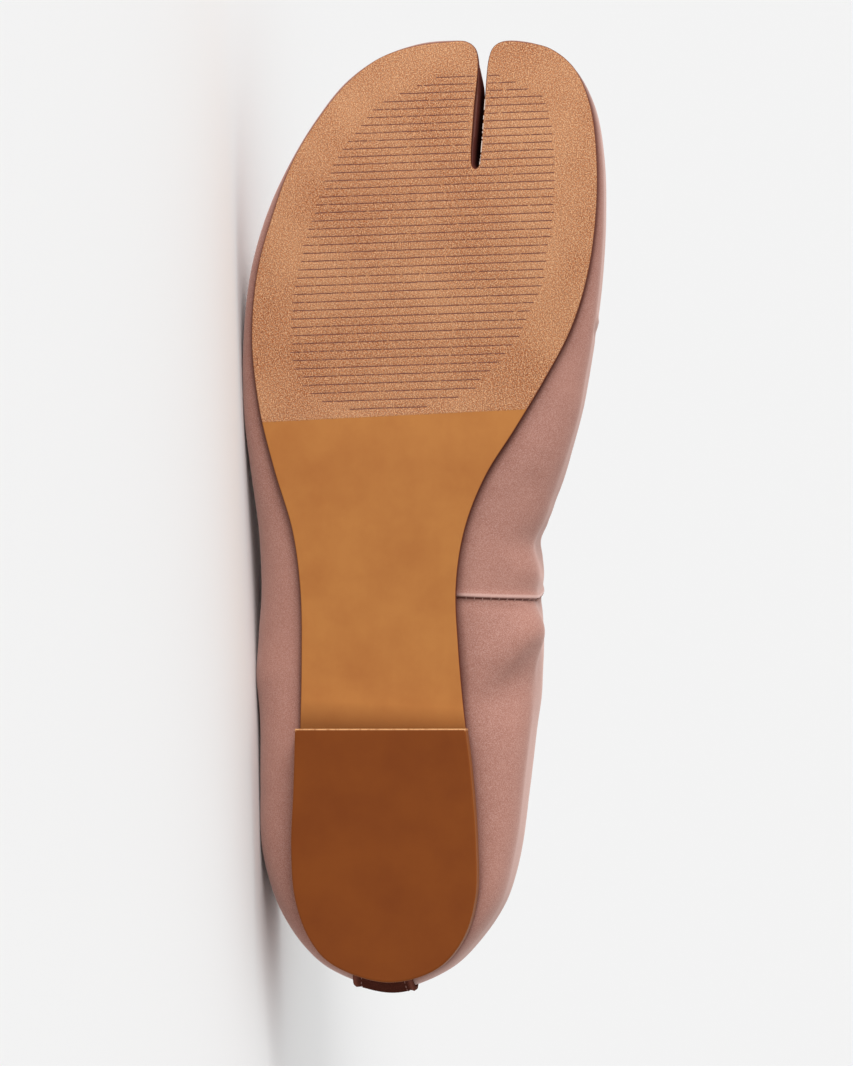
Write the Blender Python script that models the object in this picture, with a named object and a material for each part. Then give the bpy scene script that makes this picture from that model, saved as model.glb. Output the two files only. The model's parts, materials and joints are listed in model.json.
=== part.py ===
"""Split-toe ballet flat for the right foot, lying on its outer side.

The shoe is modelled standing up: x runs forward from the heel, y towards the inner side of the foot
and z up from the floor. An empty then lays it on its outer side, toe towards -X and sole towards -Y.
All tables are in millimetres and MM turns them into metres.
"""

import math
from collections import namedtuple

import bmesh
import bpy
from mathutils import Matrix, Vector
from mathutils.geometry import convex_hull_2d

MM = 0.001

# Sole unit
HEEL_HEIGHT = 6.0  # heel block under the rear of the outsole
SOLE_THICKNESS = 2.0
INSOLE_THICKNESS = 2.0
TOE_SPRING = 8.0  # rise of the sole's underside at the tip
TOE_X = 255.0
TREAD_BACK_X = 158.0  # the flat tread under the ball
TREAD_FRONT_X = 190.0
SEAT_X = 72.0  # the flat seat over the heel block ends here
BREAST_X = 71.1  # front face of the heel block, on the shoe's middle
BREAST_SLANT = math.radians(3.3)
HEEL_PROUD = 0.5  # the heel block is this much wider than the outsole
HEEL_BEVEL = 0.4

# Upper
WALL = 2.0  # satin and its lining together
FIT_GAP = 0.3  # between pieces that touch
FEATHER_INSET = 0.6  # the upper turns under just inside the edge of the sole
LASTING_MARGIN = 2.0  # flat rim of the upper that lies on the sole
LEAST_RADIUS = 0.8
STRIP_WIDTH = 18.6  # at its lower end
STRIP_TAPER = 0.4  # it is narrower at its top by this share
STRIP_THICKNESS = 0.8
STRIP_CENTRE = 0.11  # rows of the table past the back of the heel, towards the outer side
STRIP_START = 0.45  # the strip starts this far round the lower curve of the wall
STRIP_TOP_GAP = 0.04  # and ends this fraction of the upper curve under the topline

OUTLINE_STEPS = 3  # points of an outline for each row of its table
HEEL_OUTLINE_STEPS = 4
CHORD_SLACK = 0.4  # more room for the insole, whose outline has other corners than the upper
LOWER_STEPS = 4
UPPER_STEPS = 7
STRIP_COLUMNS = 8
STATION_STEP = 8.0  # the sole's sheets are cut across at this spacing, so that they can bend
SHARP_ANGLE = math.radians(40)
WELD = 1e-6  # metres
NEARBY_ROWS = 0.02  # step along the table of sections for the direction of the edge
NEARBY_SHARE = 0.01  # step along a ridge for its direction
REACH_STEP = 0.01  # rows, for measuring the strip's width round the heel
TIP_CLEAR = 1.0  # no cut across a sheet nearer than this to its tip
CUT_SLACK = 1e-4
LEAST_SPAN = 1e-6  # between rows of a table, for the spline's weights

# One row for each section round the edge of the sole, from the back of the heel along the outer
# side, round both toe lobes and the slit, and back along the inner side.
#   x, y       edge of the outsole
#   overhang   how far the upper's wall stands out past that edge
#   bulge      height over the sole where the wall is widest
#   upright    straight stretch of the wall over that
Edge = namedtuple("Edge", "where x y overhang bulge upright")
SOLE_EDGE = [
    Edge("heel_back", 4.8, 4.0, 2.9, 9.0, 9.0),
    Edge("heel_turn_outer", 8.6, -10.8, 3.35, 9.0, 9.0),
    Edge("heel_corner_outer", 14.6, -16.9, 4.8, 9.0, 9.0),
    Edge("heel_side_outer", 24.8, -21.3, 7.6, 9.0, 9.0),
    Edge("heel_mid_outer", 38.0, -23.1, 10.6, 9.0, 9.0),
    Edge("heel_front_outer", 54.0, -23.4, 11.7, 9.0, 9.0),
    Edge("breast_outer", 70.0, -23.9, 12.2, 9.5, 9.0),
    Edge("waist_rear_outer", 88.0, -24.5, 13.6, 10.0, 9.0),
    Edge("waist_mid_outer", 106.0, -25.6, 12.0, 10.0, 9.0),
    Edge("waist_front_outer", 122.0, -28.4, 10.4, 9.0, 8.0),
    Edge("ball_rear_outer", 138.0, -34.0, 7.4, 7.0, 7.0),
    Edge("ball_mid_outer", 154.0, -38.8, 5.1, 5.0, 6.0),
    Edge("ball_outer", 172.0, -41.8, 3.0, 3.5, 5.0),
    Edge("ball_front_outer", 190.0, -41.4, 2.5, 3.5, 5.0),
    Edge("toes_rear_outer", 206.0, -38.1, 2.3, 3.5, 4.5),
    Edge("toes_mid_outer", 220.0, -33.9, 1.2, 3.5, 4.0),
    Edge("toes_front_outer", 232.0, -27.8, 1.1, 3.5, 3.5),
    Edge("lobe_turn_outer", 242.0, -20.9, 1.1, 3.5, 3.0),
    Edge("lobe_corner_outer", 249.3, -12.6, 0.7, 3.5, 3.0),
    Edge("lobe_tip_outer", 253.2, -2.5, 1.0, 3.5, 3.0),
    Edge("lobe_tip_mid", 254.45, 5.0, 0.9, 3.5, 3.0),
    Edge("lobe_tip_slit", 254.8, 9.9, 0.5, 3.5, 3.0),
    Edge("mouth_outer", 253.4, 12.4, 0.5, 3.5, 3.0),
    Edge("slit_front_outer", 250.1, 13.65, 0.7, 3.5, 5.0),
    Edge("slit_mid_outer", 236.0, 13.65, 1.1, 3.5, 9.0),
    Edge("slit_rear_outer", 223.6, 13.8, 0.8, 3.5, 11.0),
    Edge("slit_turn_outer", 221.1, 14.25, 0.6, 3.5, 12.0),
    Edge("slit_root", 220.4, 15.05, 0.5, 3.5, 12.0),
    Edge("slit_turn_inner", 221.1, 15.9, 0.4, 3.5, 12.0),
    Edge("slit_rear_inner", 223.6, 16.2, 0.4, 3.5, 11.0),
    Edge("slit_mid_inner", 236.0, 16.3, 0.4, 3.5, 9.0),
    Edge("slit_front_inner", 250.6, 16.5, 0.4, 3.5, 5.0),
    Edge("mouth_inner", 253.55, 17.45, 0.6, 3.5, 3.0),
    Edge("big_toe_tip_slit", 255.1, 19.5, 0.7, 3.5, 3.0),
    Edge("big_toe_tip_mid", 255.25, 25.8, 0.7, 3.5, 3.0),
    Edge("big_toe_tip_inner", 253.8, 32.8, 0.1, 3.5, 1.5),
    Edge("big_toe_corner_inner", 248.6, 39.6, 0.0, 3.5, 1.5),
    Edge("big_toe_turn_inner", 239.0, 44.4, 0.7, 3.5, 3.0),
    Edge("big_toe_side_inner", 226.0, 47.0, 1.2, 3.5, 5.0),
    Edge("joint_front_inner", 210.0, 47.9, 1.7, 3.5, 6.0),
    Edge("joint_mid_inner", 194.0, 46.7, 2.9, 4.0, 6.5),
    Edge("joint_rear_inner", 179.0, 43.0, 5.6, 5.0, 7.0),
    Edge("ball_rear_inner", 165.0, 36.6, 10.6, 7.0, 8.0),
    Edge("waist_front_inner", 152.0, 29.7, 14.6, 9.0, 9.0),
    Edge("waist_turn_inner", 139.0, 22.4, 17.6, 11.0, 9.0),
    Edge("waist_mid_inner", 125.0, 17.65, 18.2, 12.0, 9.0),
    Edge("arch_inner", 110.0, 16.0, 19.6, 12.0, 9.0),
    Edge("waist_rear_inner", 94.0, 17.3, 20.4, 11.5, 9.0),
    Edge("breast_inner", 78.0, 19.5, 17.9, 10.5, 9.0),
    Edge("heel_front_inner", 60.0, 22.7, 13.4, 9.5, 9.0),
    Edge("heel_mid_inner", 42.0, 25.0, 9.7, 9.0, 9.0),
    Edge("heel_side_inner", 28.0, 25.6, 6.2, 9.0, 9.0),
    Edge("heel_corner_inner", 17.0, 22.9, 2.6, 9.0, 9.0),
    Edge("heel_turn_inner", 9.0, 16.6, 1.75, 9.0, 9.0),
]

# Topline of the collar, from the back of the heel to the middle of the throat: x, then y on the outer
# and on the inner side, and the height over the floor
Top = namedtuple("Top", "x outer inner height")
TOPLINE = [
    Top(6.0, 3.4, 3.4, 54.0),
    Top(9.5, -12.0, 16.6, 53.5),
    Top(18.0, -23.4, 24.2, 52.0),
    Top(34.0, -31.2, 31.8, 49.0),
    Top(54.0, -34.4, 34.4, 46.0),
    Top(76.0, -35.8, 35.9, 44.0),
    Top(98.0, -36.8, 36.1, 43.0),
    Top(119.0, -37.2, 34.9, 42.0),
    Top(138.0, -36.6, 37.2, 40.5),
    Top(155.0, -33.0, 36.0, 39.5),
    Top(169.0, -25.5, 31.0, 39.5),
    Top(179.5, -13.5, 20.5, 41.0),
    Top(184.0, 3.0, 3.0, 42.0),
]

# Ridges of the vamp and of the two lobes, each from its rear to its front end
Ridge = namedtuple("Ridge", "x y height")
VAMP_RIDGE = [Ridge(184.0, 3.0, 42.0), Ridge(192.0, 6.0, 38.0), Ridge(201.0, 9.0, 34.0)]
LOBE_RIDGE = [Ridge(201.0, 9.0, 34.0), Ridge(219.0, 1.5, 29.0), Ridge(237.0, -3.0, 25.0)]
BIG_TOE_RIDGE = [Ridge(201.0, 9.0, 34.0), Ridge(221.0, 25.0, 29.5), Ridge(241.0, 31.0, 26.0)]

TOP_OPEN = math.radians(38)  # how far the wall has turned in at the open sides of the collar
TOP_CLOSED = math.radians(90)  # and where two walls meet in a ridge
THROAT_SHARE = 0.28  # the walls turn from one to the other over this share of the topline

# One row for each stretch of the upper: where it starts and ends on the sole's edge, its columns,
# and the ridge that its walls climb to, taken forwards (1) or backwards (-1), or its end (0)
Run = namedtuple("Run", "start end columns ridge way")
RUNS = [
    Run("heel_back", "ball_front_outer", 30, "outer_top", 1),
    Run("ball_front_outer", "toes_rear_outer", 3, "vamp", 1),
    Run("toes_rear_outer", "lobe_turn_outer", 8, "lobe", 1),
    Run("lobe_turn_outer", "mouth_outer", 9, "lobe", 0),
    Run("mouth_outer", "slit_rear_outer", 8, "lobe", -1),
    Run("slit_rear_outer", "slit_rear_inner", 5, "vamp", 0),
    Run("slit_rear_inner", "mouth_inner", 8, "big_toe", 1),
    Run("mouth_inner", "big_toe_turn_inner", 8, "big_toe", 0),
    Run("big_toe_turn_inner", "joint_front_inner", 8, "big_toe", -1),
    Run("joint_front_inner", "joint_mid_inner", 3, "vamp", -1),
    Run("joint_mid_inner", "heel_back", 30, "inner_top", -1),
]

Finish = namedtuple("Finish", "color roughness")
FINISHES = {
    "tan_sole": Finish((0.462, 0.188, 0.06), 0.55),
    "brown_heel": Finish((0.22, 0.06, 0.014), 0.4),
    "pink_satin": Finish((0.45, 0.235, 0.185), 0.42),
    "pale_sock": Finish((0.5, 0.36, 0.27), 0.7),
}


def clear_scene():
    for obj in list(bpy.data.objects):
        bpy.data.objects.remove(obj, do_unlink=True)


def smooth(t):
    """0 to 1 with level ends."""
    t = min(1.0, max(0.0, t))
    return t * t * (3.0 - 2.0 * t)


def mixed(a, b, t):
    return a + (b - a) * t


def spline(rows, u, closed):
    """Values at u, counted in rows, on the smooth curve through rows of equal length."""
    count = len(rows)
    i = min(int(math.floor(u)), count - (1 if closed else 2))
    t = u - i

    def row(k):
        return rows[k % count] if closed else rows[min(max(k, 0), count - 1)]

    before, a, b, after = (row(k) for k in (i - 1, i, i + 1, i + 2))

    def gap(p, q):
        return max(math.dist(p[:2], q[:2]), LEAST_SPAN) ** 0.5

    d0, d1, d2 = gap(before, a), gap(a, b), gap(b, after)
    values = []
    for p0, p1, p2, p3 in zip(before, a, b, after):
        m1 = (p2 - p1) + d1 * ((p1 - p0) / d0 - (p2 - p0) / (d0 + d1)) if before is not a else p2 - p1
        m2 = (p2 - p1) + d1 * ((p3 - p2) / d2 - (p3 - p1) / (d1 + d2)) if after is not b else p2 - p1
        h = t * t
        c = h * t
        values.append((2 * c - 3 * h + 1) * p1 + (c - 2 * h + t) * m1 + (3 * h - 2 * c) * p2 + (c - h) * m2)
    return values


EDGE_VALUES = [tuple(e[1:]) for e in SOLE_EDGE]
EDGE_INDEX = {e.where: i for i, e in enumerate(SOLE_EDGE)}


def edge_at(u):
    """Point on the sole's edge at u, its outward direction in plan, and the wall's three sizes."""
    count = len(SOLE_EDGE)
    x, y, overhang, bulge, upright = spline(EDGE_VALUES, u % count, True)
    ahead = spline(EDGE_VALUES, (u + NEARBY_ROWS) % count, True)
    behind = spline(EDGE_VALUES, (u - NEARBY_ROWS) % count, True)
    along = Vector((ahead[0] - behind[0], ahead[1] - behind[1])).normalized()
    return Vector((x, y)), Vector((along.y, -along.x)), overhang, bulge, upright


def sole_underside(x):
    """Height of the outsole's underside over the floor."""
    if x < TREAD_BACK_X:
        return (HEEL_HEIGHT + FIT_GAP) * smooth((TREAD_BACK_X - x) / (TREAD_BACK_X - SEAT_X))
    if x < TREAD_FRONT_X:
        return 0.0
    return TOE_SPRING * ((x - TREAD_FRONT_X) / (TOE_X - TREAD_FRONT_X)) ** 2


def sole_top(x):
    return sole_underside(x) + SOLE_THICKNESS


def ridge_point(ridge, t):
    """Top of the wall at t along a ridge, how far the wall has turned in there, and the way out."""
    if ridge in ("outer_top", "inner_top"):
        side = 1 if ridge == "outer_top" else -1
        rows = [(r.x, r.outer if side == 1 else r.inner, r.height) for r in TOPLINE]
        turn = mixed(TOP_OPEN, TOP_CLOSED, smooth((t - 1 + THROAT_SHARE) / THROAT_SHARE))
    else:
        side = 1
        table = {"vamp": VAMP_RIDGE, "lobe": LOBE_RIDGE, "big_toe": BIG_TOE_RIDGE}[ridge]
        rows = [tuple(r) for r in table]
        turn = TOP_CLOSED
    last = len(rows) - 1
    along = Vector(spline(rows, min(t + NEARBY_SHARE, 1.0) * last, False))
    along -= Vector(spline(rows, max(t - NEARBY_SHARE, 0.0) * last, False))
    away = side * Vector((along.y, -along.x)).normalized()
    return Vector(spline(rows, t * last, False)), turn, away


def rib(edge, crest, grow):
    """Points of one section of the wall, from the rim under the foot up to its top.

    grow moves the section outwards: 0 is the satin's face, -WALL the inside of the shoe.
    """
    foot, out, overhang, bulge, upright = edge
    top, turn, away = crest
    floor = sole_top(foot.x) + FIT_GAP
    feather = foot - out * FEATHER_INSET
    reach = overhang + FEATHER_INSET
    wide = max(reach + grow, LEAST_RADIUS)
    tall = max(bulge + grow, LEAST_RADIUS)
    start = reach + grow - wide
    points = [(feather - out * LASTING_MARGIN).to_3d() + Vector((0, 0, floor - grow))]
    for k in range(LOWER_STEPS + 1):
        turned = math.radians(90) * k / LOWER_STEPS
        at = feather + out * (start + wide * math.sin(turned))
        points.append(Vector((at.x, at.y, floor - grow + tall * (1 - math.cos(turned)))))
    side = feather + out * (reach + grow)
    shoulder = floor + bulge + upright
    face = feather + out * reach
    inwards = top.xy - face
    run = inwards.length
    sideways = run * math.sin(turn) / (1 - math.cos(turn))
    upwards = (top.z - shoulder) * math.cos(turn) / math.sin(turn)
    normal = Vector((upwards, sideways)).normalized()
    end = top + grow * Vector((away.x * normal.x, away.y * normal.x, normal.y))
    for k in range(UPPER_STEPS + 1):
        turned = turn * k / UPPER_STEPS
        at = side + (end.xy - side) * ((1 - math.cos(turned)) / (1 - math.cos(turn)))
        points.append(Vector((at.x, at.y, shoulder + (end.z - shoulder) * math.sin(turned) / math.sin(turn))))
    return points


def columns():
    """(edge, crest, is it on the collar) of each section round the whole upper."""
    found = []
    for run in RUNS:
        first = EDGE_INDEX[run.start]
        last = EDGE_INDEX[run.end]
        if last <= first:
            last += len(SOLE_EDGE)
        for k in range(run.columns):
            t = k / run.columns
            along = {1: t, -1: 1 - t, 0: 1.0}[run.way]
            edge = edge_at(mixed(first, last, t))
            found.append((edge, ridge_point(run.ridge, along), run.ridge.endswith("_top")))
    return found


def new_object(name, finish, points, faces):
    """A mesh object of points in millimetres, in which coinciding points are one."""
    seen, where = {}, []
    for p in points:
        where.append(seen.setdefault(tuple(round(c, 4) for c in p), len(seen)))
    rings = []
    for face in faces:
        ring = [where[i] for i in face]
        ring = [v for k, v in enumerate(ring) if v != ring[k - 1]]
        if len(ring) > 2:
            rings.append(ring)
    mesh = bpy.data.meshes.new(name)
    mesh.from_pydata([Vector(p) * MM for p in seen], [], rings)
    return dress(mesh, name, finish)


def dress(mesh, name, finish):
    """Object with its finish, its faces pointing out and smooth but for its hard edges."""
    bm = bmesh.new()
    bm.from_mesh(mesh)
    bmesh.ops.remove_doubles(bm, verts=bm.verts[:], dist=WELD)
    bmesh.ops.triangulate(bm, faces=bm.faces[:])
    bmesh.ops.recalc_face_normals(bm, faces=bm.faces[:])
    bm.to_mesh(mesh)
    bm.free()
    mesh.shade_smooth()
    mesh.set_sharp_from_angle(angle=SHARP_ANGLE)
    material = bpy.data.materials.get(finish) or bpy.data.materials.new(finish)
    material.use_nodes = True
    shader = material.node_tree.nodes["Principled BSDF"]
    shader.inputs["Base Color"].default_value = (*FINISHES[finish].color, 1.0)
    shader.inputs["Roughness"].default_value = FINISHES[finish].roughness
    mesh.materials.append(material)
    obj = bpy.data.objects.new(name, mesh)
    bpy.context.scene.collection.objects.link(obj)
    return obj


def make_upper():
    """One hollow shell: outer and inner sections joined along the collar and round the sole."""
    sections = columns()
    outer = [rib(edge, crest, 0.0) for edge, crest, _ in sections]
    inner = [rib(edge, crest, -WALL) for edge, crest, _ in sections]
    height = len(outer[0])
    count = len(sections)
    points = [p for ring in outer + inner for p in ring]
    shift = count * height
    faces = []
    for j in range(count):
        a, b = j * height, (j + 1) % count * height
        for i in range(height - 1):
            faces.append((a + i, b + i, b + i + 1, a + i + 1))
            faces.append((shift + a + i + 1, shift + b + i + 1, shift + b + i, shift + a + i))
        faces.append((shift + a, shift + b, b, a))
        if sections[j][2]:
            tip = height - 1
            faces.append((a + tip, b + tip, shift + b + tip, shift + a + tip))
    return new_object("upper", "pink_satin", points, faces)


def strip_rib(u, grow):
    """Section of the wall at u from the strip's lower end to its upper end."""
    ridge = "outer_top" if u >= 0 else "inner_top"
    crest = ridge_point(ridge, collar_share(abs(u), ridge))
    points = rib(edge_at(u), crest, grow)[1 + round(STRIP_START * LOWER_STEPS):]
    points[-1] = points[-2].lerp(points[-1], 1 - STRIP_TOP_GAP * UPPER_STEPS)
    return points


def make_back_strip():
    """The strip over the seam of the heel, cut between two larger forms of the upper."""
    half = strip_reach()
    skins = []
    for grow in (FIT_GAP, FIT_GAP + STRIP_THICKNESS):
        skin = []
        for k in range(STRIP_COLUMNS + 1):
            side = mixed(-half, half, k / STRIP_COLUMNS)
            wide = strip_rib(STRIP_CENTRE + side, grow)
            narrow = strip_rib(STRIP_CENTRE + side * (1 - STRIP_TAPER), grow)
            rise = wide[-1].z - wide[0].z
            skin.append([a.lerp(b, (a.z - wide[0].z) / rise) for a, b in zip(wide, narrow)])
        skins.append(skin)
    height = len(skins[0][0])
    points = [p for skin in skins for ring in skin for p in ring]
    shift = (STRIP_COLUMNS + 1) * height
    faces = []
    for j in range(STRIP_COLUMNS):
        a, b = j * height, (j + 1) * height
        for i in range(height - 1):
            faces.append((a + i, a + i + 1, b + i + 1, b + i))
            faces.append((shift + a + i, shift + b + i, shift + b + i + 1, shift + a + i + 1))
        for i in (0, height - 1):
            faces.append((a + i, b + i, shift + b + i, shift + a + i))
    for a in (0, STRIP_COLUMNS * height):
        for i in range(height - 1):
            faces.append((a + i, a + i + 1, shift + a + i + 1, shift + a + i))
    return new_object("back_strip", "pink_satin", points, faces)


def collar_share(u, ridge):
    """How far along the collar's ridge the section at u stands, as in columns()."""
    run = RUNS[0] if ridge == "outer_top" else RUNS[-1]
    first, last = EDGE_INDEX[run.start], EDGE_INDEX[run.end]
    span = (last - first) if ridge == "outer_top" else len(SOLE_EDGE) - first
    return u / span


def strip_reach():
    """Half the strip's width, counted in rows of the table of sections."""
    u, walked = 0.0, 0.0
    foot, out, overhang, *_ = edge_at(0.0)
    before = foot + out * overhang
    while walked < STRIP_WIDTH / 2:
        u += REACH_STEP
        foot, out, overhang, *_ = edge_at(u)
        here = foot + out * overhang
        walked += (here - before).length
        before = here
    return u


def outline(inset, steps=OUTLINE_STEPS):
    """Edge of the sole moved inwards by inset."""
    points = []
    for k in range(len(SOLE_EDGE) * steps):
        foot, out, *_ = edge_at(k / steps)
        points.append(foot - out * inset)
    return points


def bent_sheet(name, finish, edge, underside, thickness):
    """A sheet of even thickness over an outline, bent lengthways to follow underside(x)."""
    bm = bmesh.new()
    face = bm.faces.new([bm.verts.new((p.x, p.y, 0.0)) for p in edge])
    face.normal_update()
    bmesh.ops.triangulate(bm, faces=[face])
    x, last = min(p.x for p in edge) + STATION_STEP, max(p.x for p in edge) - TIP_CLEAR
    while x < last:
        parts = bm.verts[:] + bm.edges[:] + bm.faces[:]
        bmesh.ops.bisect_plane(bm, geom=parts, dist=CUT_SLACK, plane_co=(x, 0, 0), plane_no=(1, 0, 0))
        x += STATION_STEP
    below = bmesh.ops.extrude_face_region(bm, geom=bm.faces[:])["geom"]
    lowered = {g for g in below if isinstance(g, bmesh.types.BMVert)}
    for v in bm.verts:
        v.co.z = underside(v.co.x) + (0.0 if v in lowered else thickness)
        v.co *= MM
    bmesh.ops.recalc_face_normals(bm, faces=bm.faces[:])
    mesh = bpy.data.meshes.new(name)
    bm.to_mesh(mesh)
    bm.free()
    return dress(mesh, name, finish)


def breast_x(y):
    return BREAST_X + y * math.tan(BREAST_SLANT)


def make_heel():
    """The D-shaped block under the seat, with its top and bottom edges slightly broken."""
    edge = outline(-HEEL_PROUD, HEEL_OUTLINE_STEPS)
    start = next(k for k, p in enumerate(edge) if p.x > breast_x(p.y))
    end = next(k for k in range(len(edge) - 1, 0, -1) if edge[k].x > breast_x(edge[k].y))
    sides = [edge[k % len(edge)] for k in range(end + 1, len(edge) + start)]
    corners = [Vector((breast_x(p.y), p.y)) for p in (sides[-1], sides[0])]
    bm = bmesh.new()
    face = bm.faces.new([bm.verts.new((p.x * MM, p.y * MM, 0.0)) for p in sides + corners])
    top = bmesh.ops.extrude_face_region(bm, geom=[face])["geom"]
    for v in top:
        if isinstance(v, bmesh.types.BMVert):
            v.co.z = HEEL_HEIGHT * MM
    bmesh.ops.recalc_face_normals(bm, faces=bm.faces[:])
    rims = [e for e in bm.edges if abs(e.verts[0].co.z - e.verts[1].co.z) < WELD]
    bmesh.ops.bevel(bm, geom=rims, offset=HEEL_BEVEL * MM, segments=1, affect="EDGES")
    mesh = bpy.data.meshes.new("heel")
    bm.to_mesh(mesh)
    bm.free()
    return dress(mesh, "heel", "brown_heel")


def make_sole():
    bent_sheet("outsole", "tan_sole", outline(0.0), sole_underside, SOLE_THICKNESS)


def make_insole():
    inset = FEATHER_INSET + LASTING_MARGIN + FIT_GAP + CHORD_SLACK
    bent_sheet("insole", "pale_sock", outline(inset), lambda x: sole_top(x) + FIT_GAP, INSOLE_THICKNESS)


def lay_on_side():
    """Parents every piece to an empty that lays the shoe on its outer side.

    The sole's flat parts stay upright. The shoe turns about the sole's normal until the widest
    points of the ball and of the heel's wall both lie on z = 0, with the box's middle at x = y = 0.
    """
    pieces = [obj for obj in bpy.data.objects if obj.type == "MESH"]
    on_side = Matrix(((-1, 0, 0), (0, 0, 1), (0, 1, 0)))
    points = [on_side @ v.co for obj in pieces for v in obj.data.vertices]
    flat = [Vector((p.x, p.z)) for p in points]
    hull = [flat[i] for i in convex_hull_2d(flat)]
    middle = sum((p.x for p in points), 0.0) / len(points)
    spans = [(a, b) if a.x < b.x else (b, a) for a, b in zip(hull, hull[1:] + hull[:1])]
    toe_end, heel_end = min((s for s in spans if s[0].x < middle < s[1].x), key=lambda s: s[0].y)
    slope = math.atan2(heel_end.y - toe_end.y, heel_end.x - toe_end.x)
    turn = Matrix.Rotation(slope, 3, "Y") @ on_side
    placed = [turn @ v.co for obj in pieces for v in obj.data.vertices]
    lows = [min(p[k] for p in placed) for k in range(3)]
    highs = [max(p[k] for p in placed) for k in range(3)]
    base = bpy.data.objects.new("shoe_frame", None)
    bpy.context.scene.collection.objects.link(base)
    shift = Vector((-(lows[0] + highs[0]) / 2, -(lows[1] + highs[1]) / 2, -lows[2]))
    base.matrix_world = Matrix.Translation(shift) @ turn.to_4x4()
    for obj in pieces:
        obj.parent = base


def main():
    clear_scene()
    make_sole()
    make_heel()
    make_upper()
    make_insole()
    make_back_strip()
    lay_on_side()


main()
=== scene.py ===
# Split-toe ballet flat for the right foot: pink satin upper on a tan sole with a low brown heel.
# It lies on its outer side. All tables are in shoe millimetres: x forward from the heel, y towards
# the inner side of the foot, z up from the ground plane of the sole.
import bpy
import bmesh
import json
import math
import numpy as np
from mathutils import Matrix, Vector
from mathutils.bvhtree import BVHTree
from mathutils.geometry import delaunay_2d_cdt


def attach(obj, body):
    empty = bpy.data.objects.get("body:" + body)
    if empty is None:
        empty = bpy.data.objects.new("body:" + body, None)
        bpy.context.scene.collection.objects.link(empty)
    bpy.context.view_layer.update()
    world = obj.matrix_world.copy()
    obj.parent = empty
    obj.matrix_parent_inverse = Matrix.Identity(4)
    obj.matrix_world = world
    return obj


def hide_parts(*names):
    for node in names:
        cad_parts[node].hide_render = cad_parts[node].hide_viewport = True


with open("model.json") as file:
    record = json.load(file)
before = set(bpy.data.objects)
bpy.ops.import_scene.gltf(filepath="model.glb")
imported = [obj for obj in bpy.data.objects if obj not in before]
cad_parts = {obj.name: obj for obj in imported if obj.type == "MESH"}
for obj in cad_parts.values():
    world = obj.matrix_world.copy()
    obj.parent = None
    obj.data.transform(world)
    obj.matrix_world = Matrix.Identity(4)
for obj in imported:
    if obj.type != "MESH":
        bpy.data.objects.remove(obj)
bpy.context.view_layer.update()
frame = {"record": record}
mm = 0.001

print("shoe frame")
heelGround = (38.0, 2.0)  # x and y of the record's mount under the heel


def findShoeToRow():
    spots = {m["name"]: Vector(m["pos_m"]) for m in frame["record"]["mounts"]}
    forward = (spots["ball_ground"] - spots["heel_ground"]).normalized()
    up = Vector((0, 1, 0))  # out of the collar
    inner = up.cross(forward)
    x, y = heelGround
    origin = spots["heel_ground"] - (forward * x + inner * y) * mm
    turn = Matrix((forward, inner, up)).transposed()
    return Matrix.Translation(origin) @ turn.to_4x4() @ Matrix.Scale(mm, 4)


shoeToRow = findShoeToRow()
shoeTurn = shoeToRow.to_3x3().normalized()


def placed(points, matrix):
    m = np.array(matrix)
    return np.asarray(points, float) @ m[:3, :3].T + m[:3, 3]


def toRow(points):
    return placed(points, shoeToRow)


def toShoe(points):
    return placed(points, shoeToRow.inverted())


print("shape of the shoe")
shoe = {
    "heelHeight": 6.0,
    "soleThickness": 2.0,
    "insoleThickness": 2.0,
    "toeSpring": 8.0,
    "toeX": 255.0,
    "treadBackX": 158.0,
    "treadFrontX": 190.0,
    "seatX": 72.0,
    "breastX": 71.1,
    "breastSlant": math.radians(3.3),
    "heelProud": 0.5,
    "wall": 2.0,
    "fitGap": 0.3,
    "featherInset": 0.6,
    "lastingMargin": 2.0,
    "leastRadius": 0.8,
}

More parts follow.
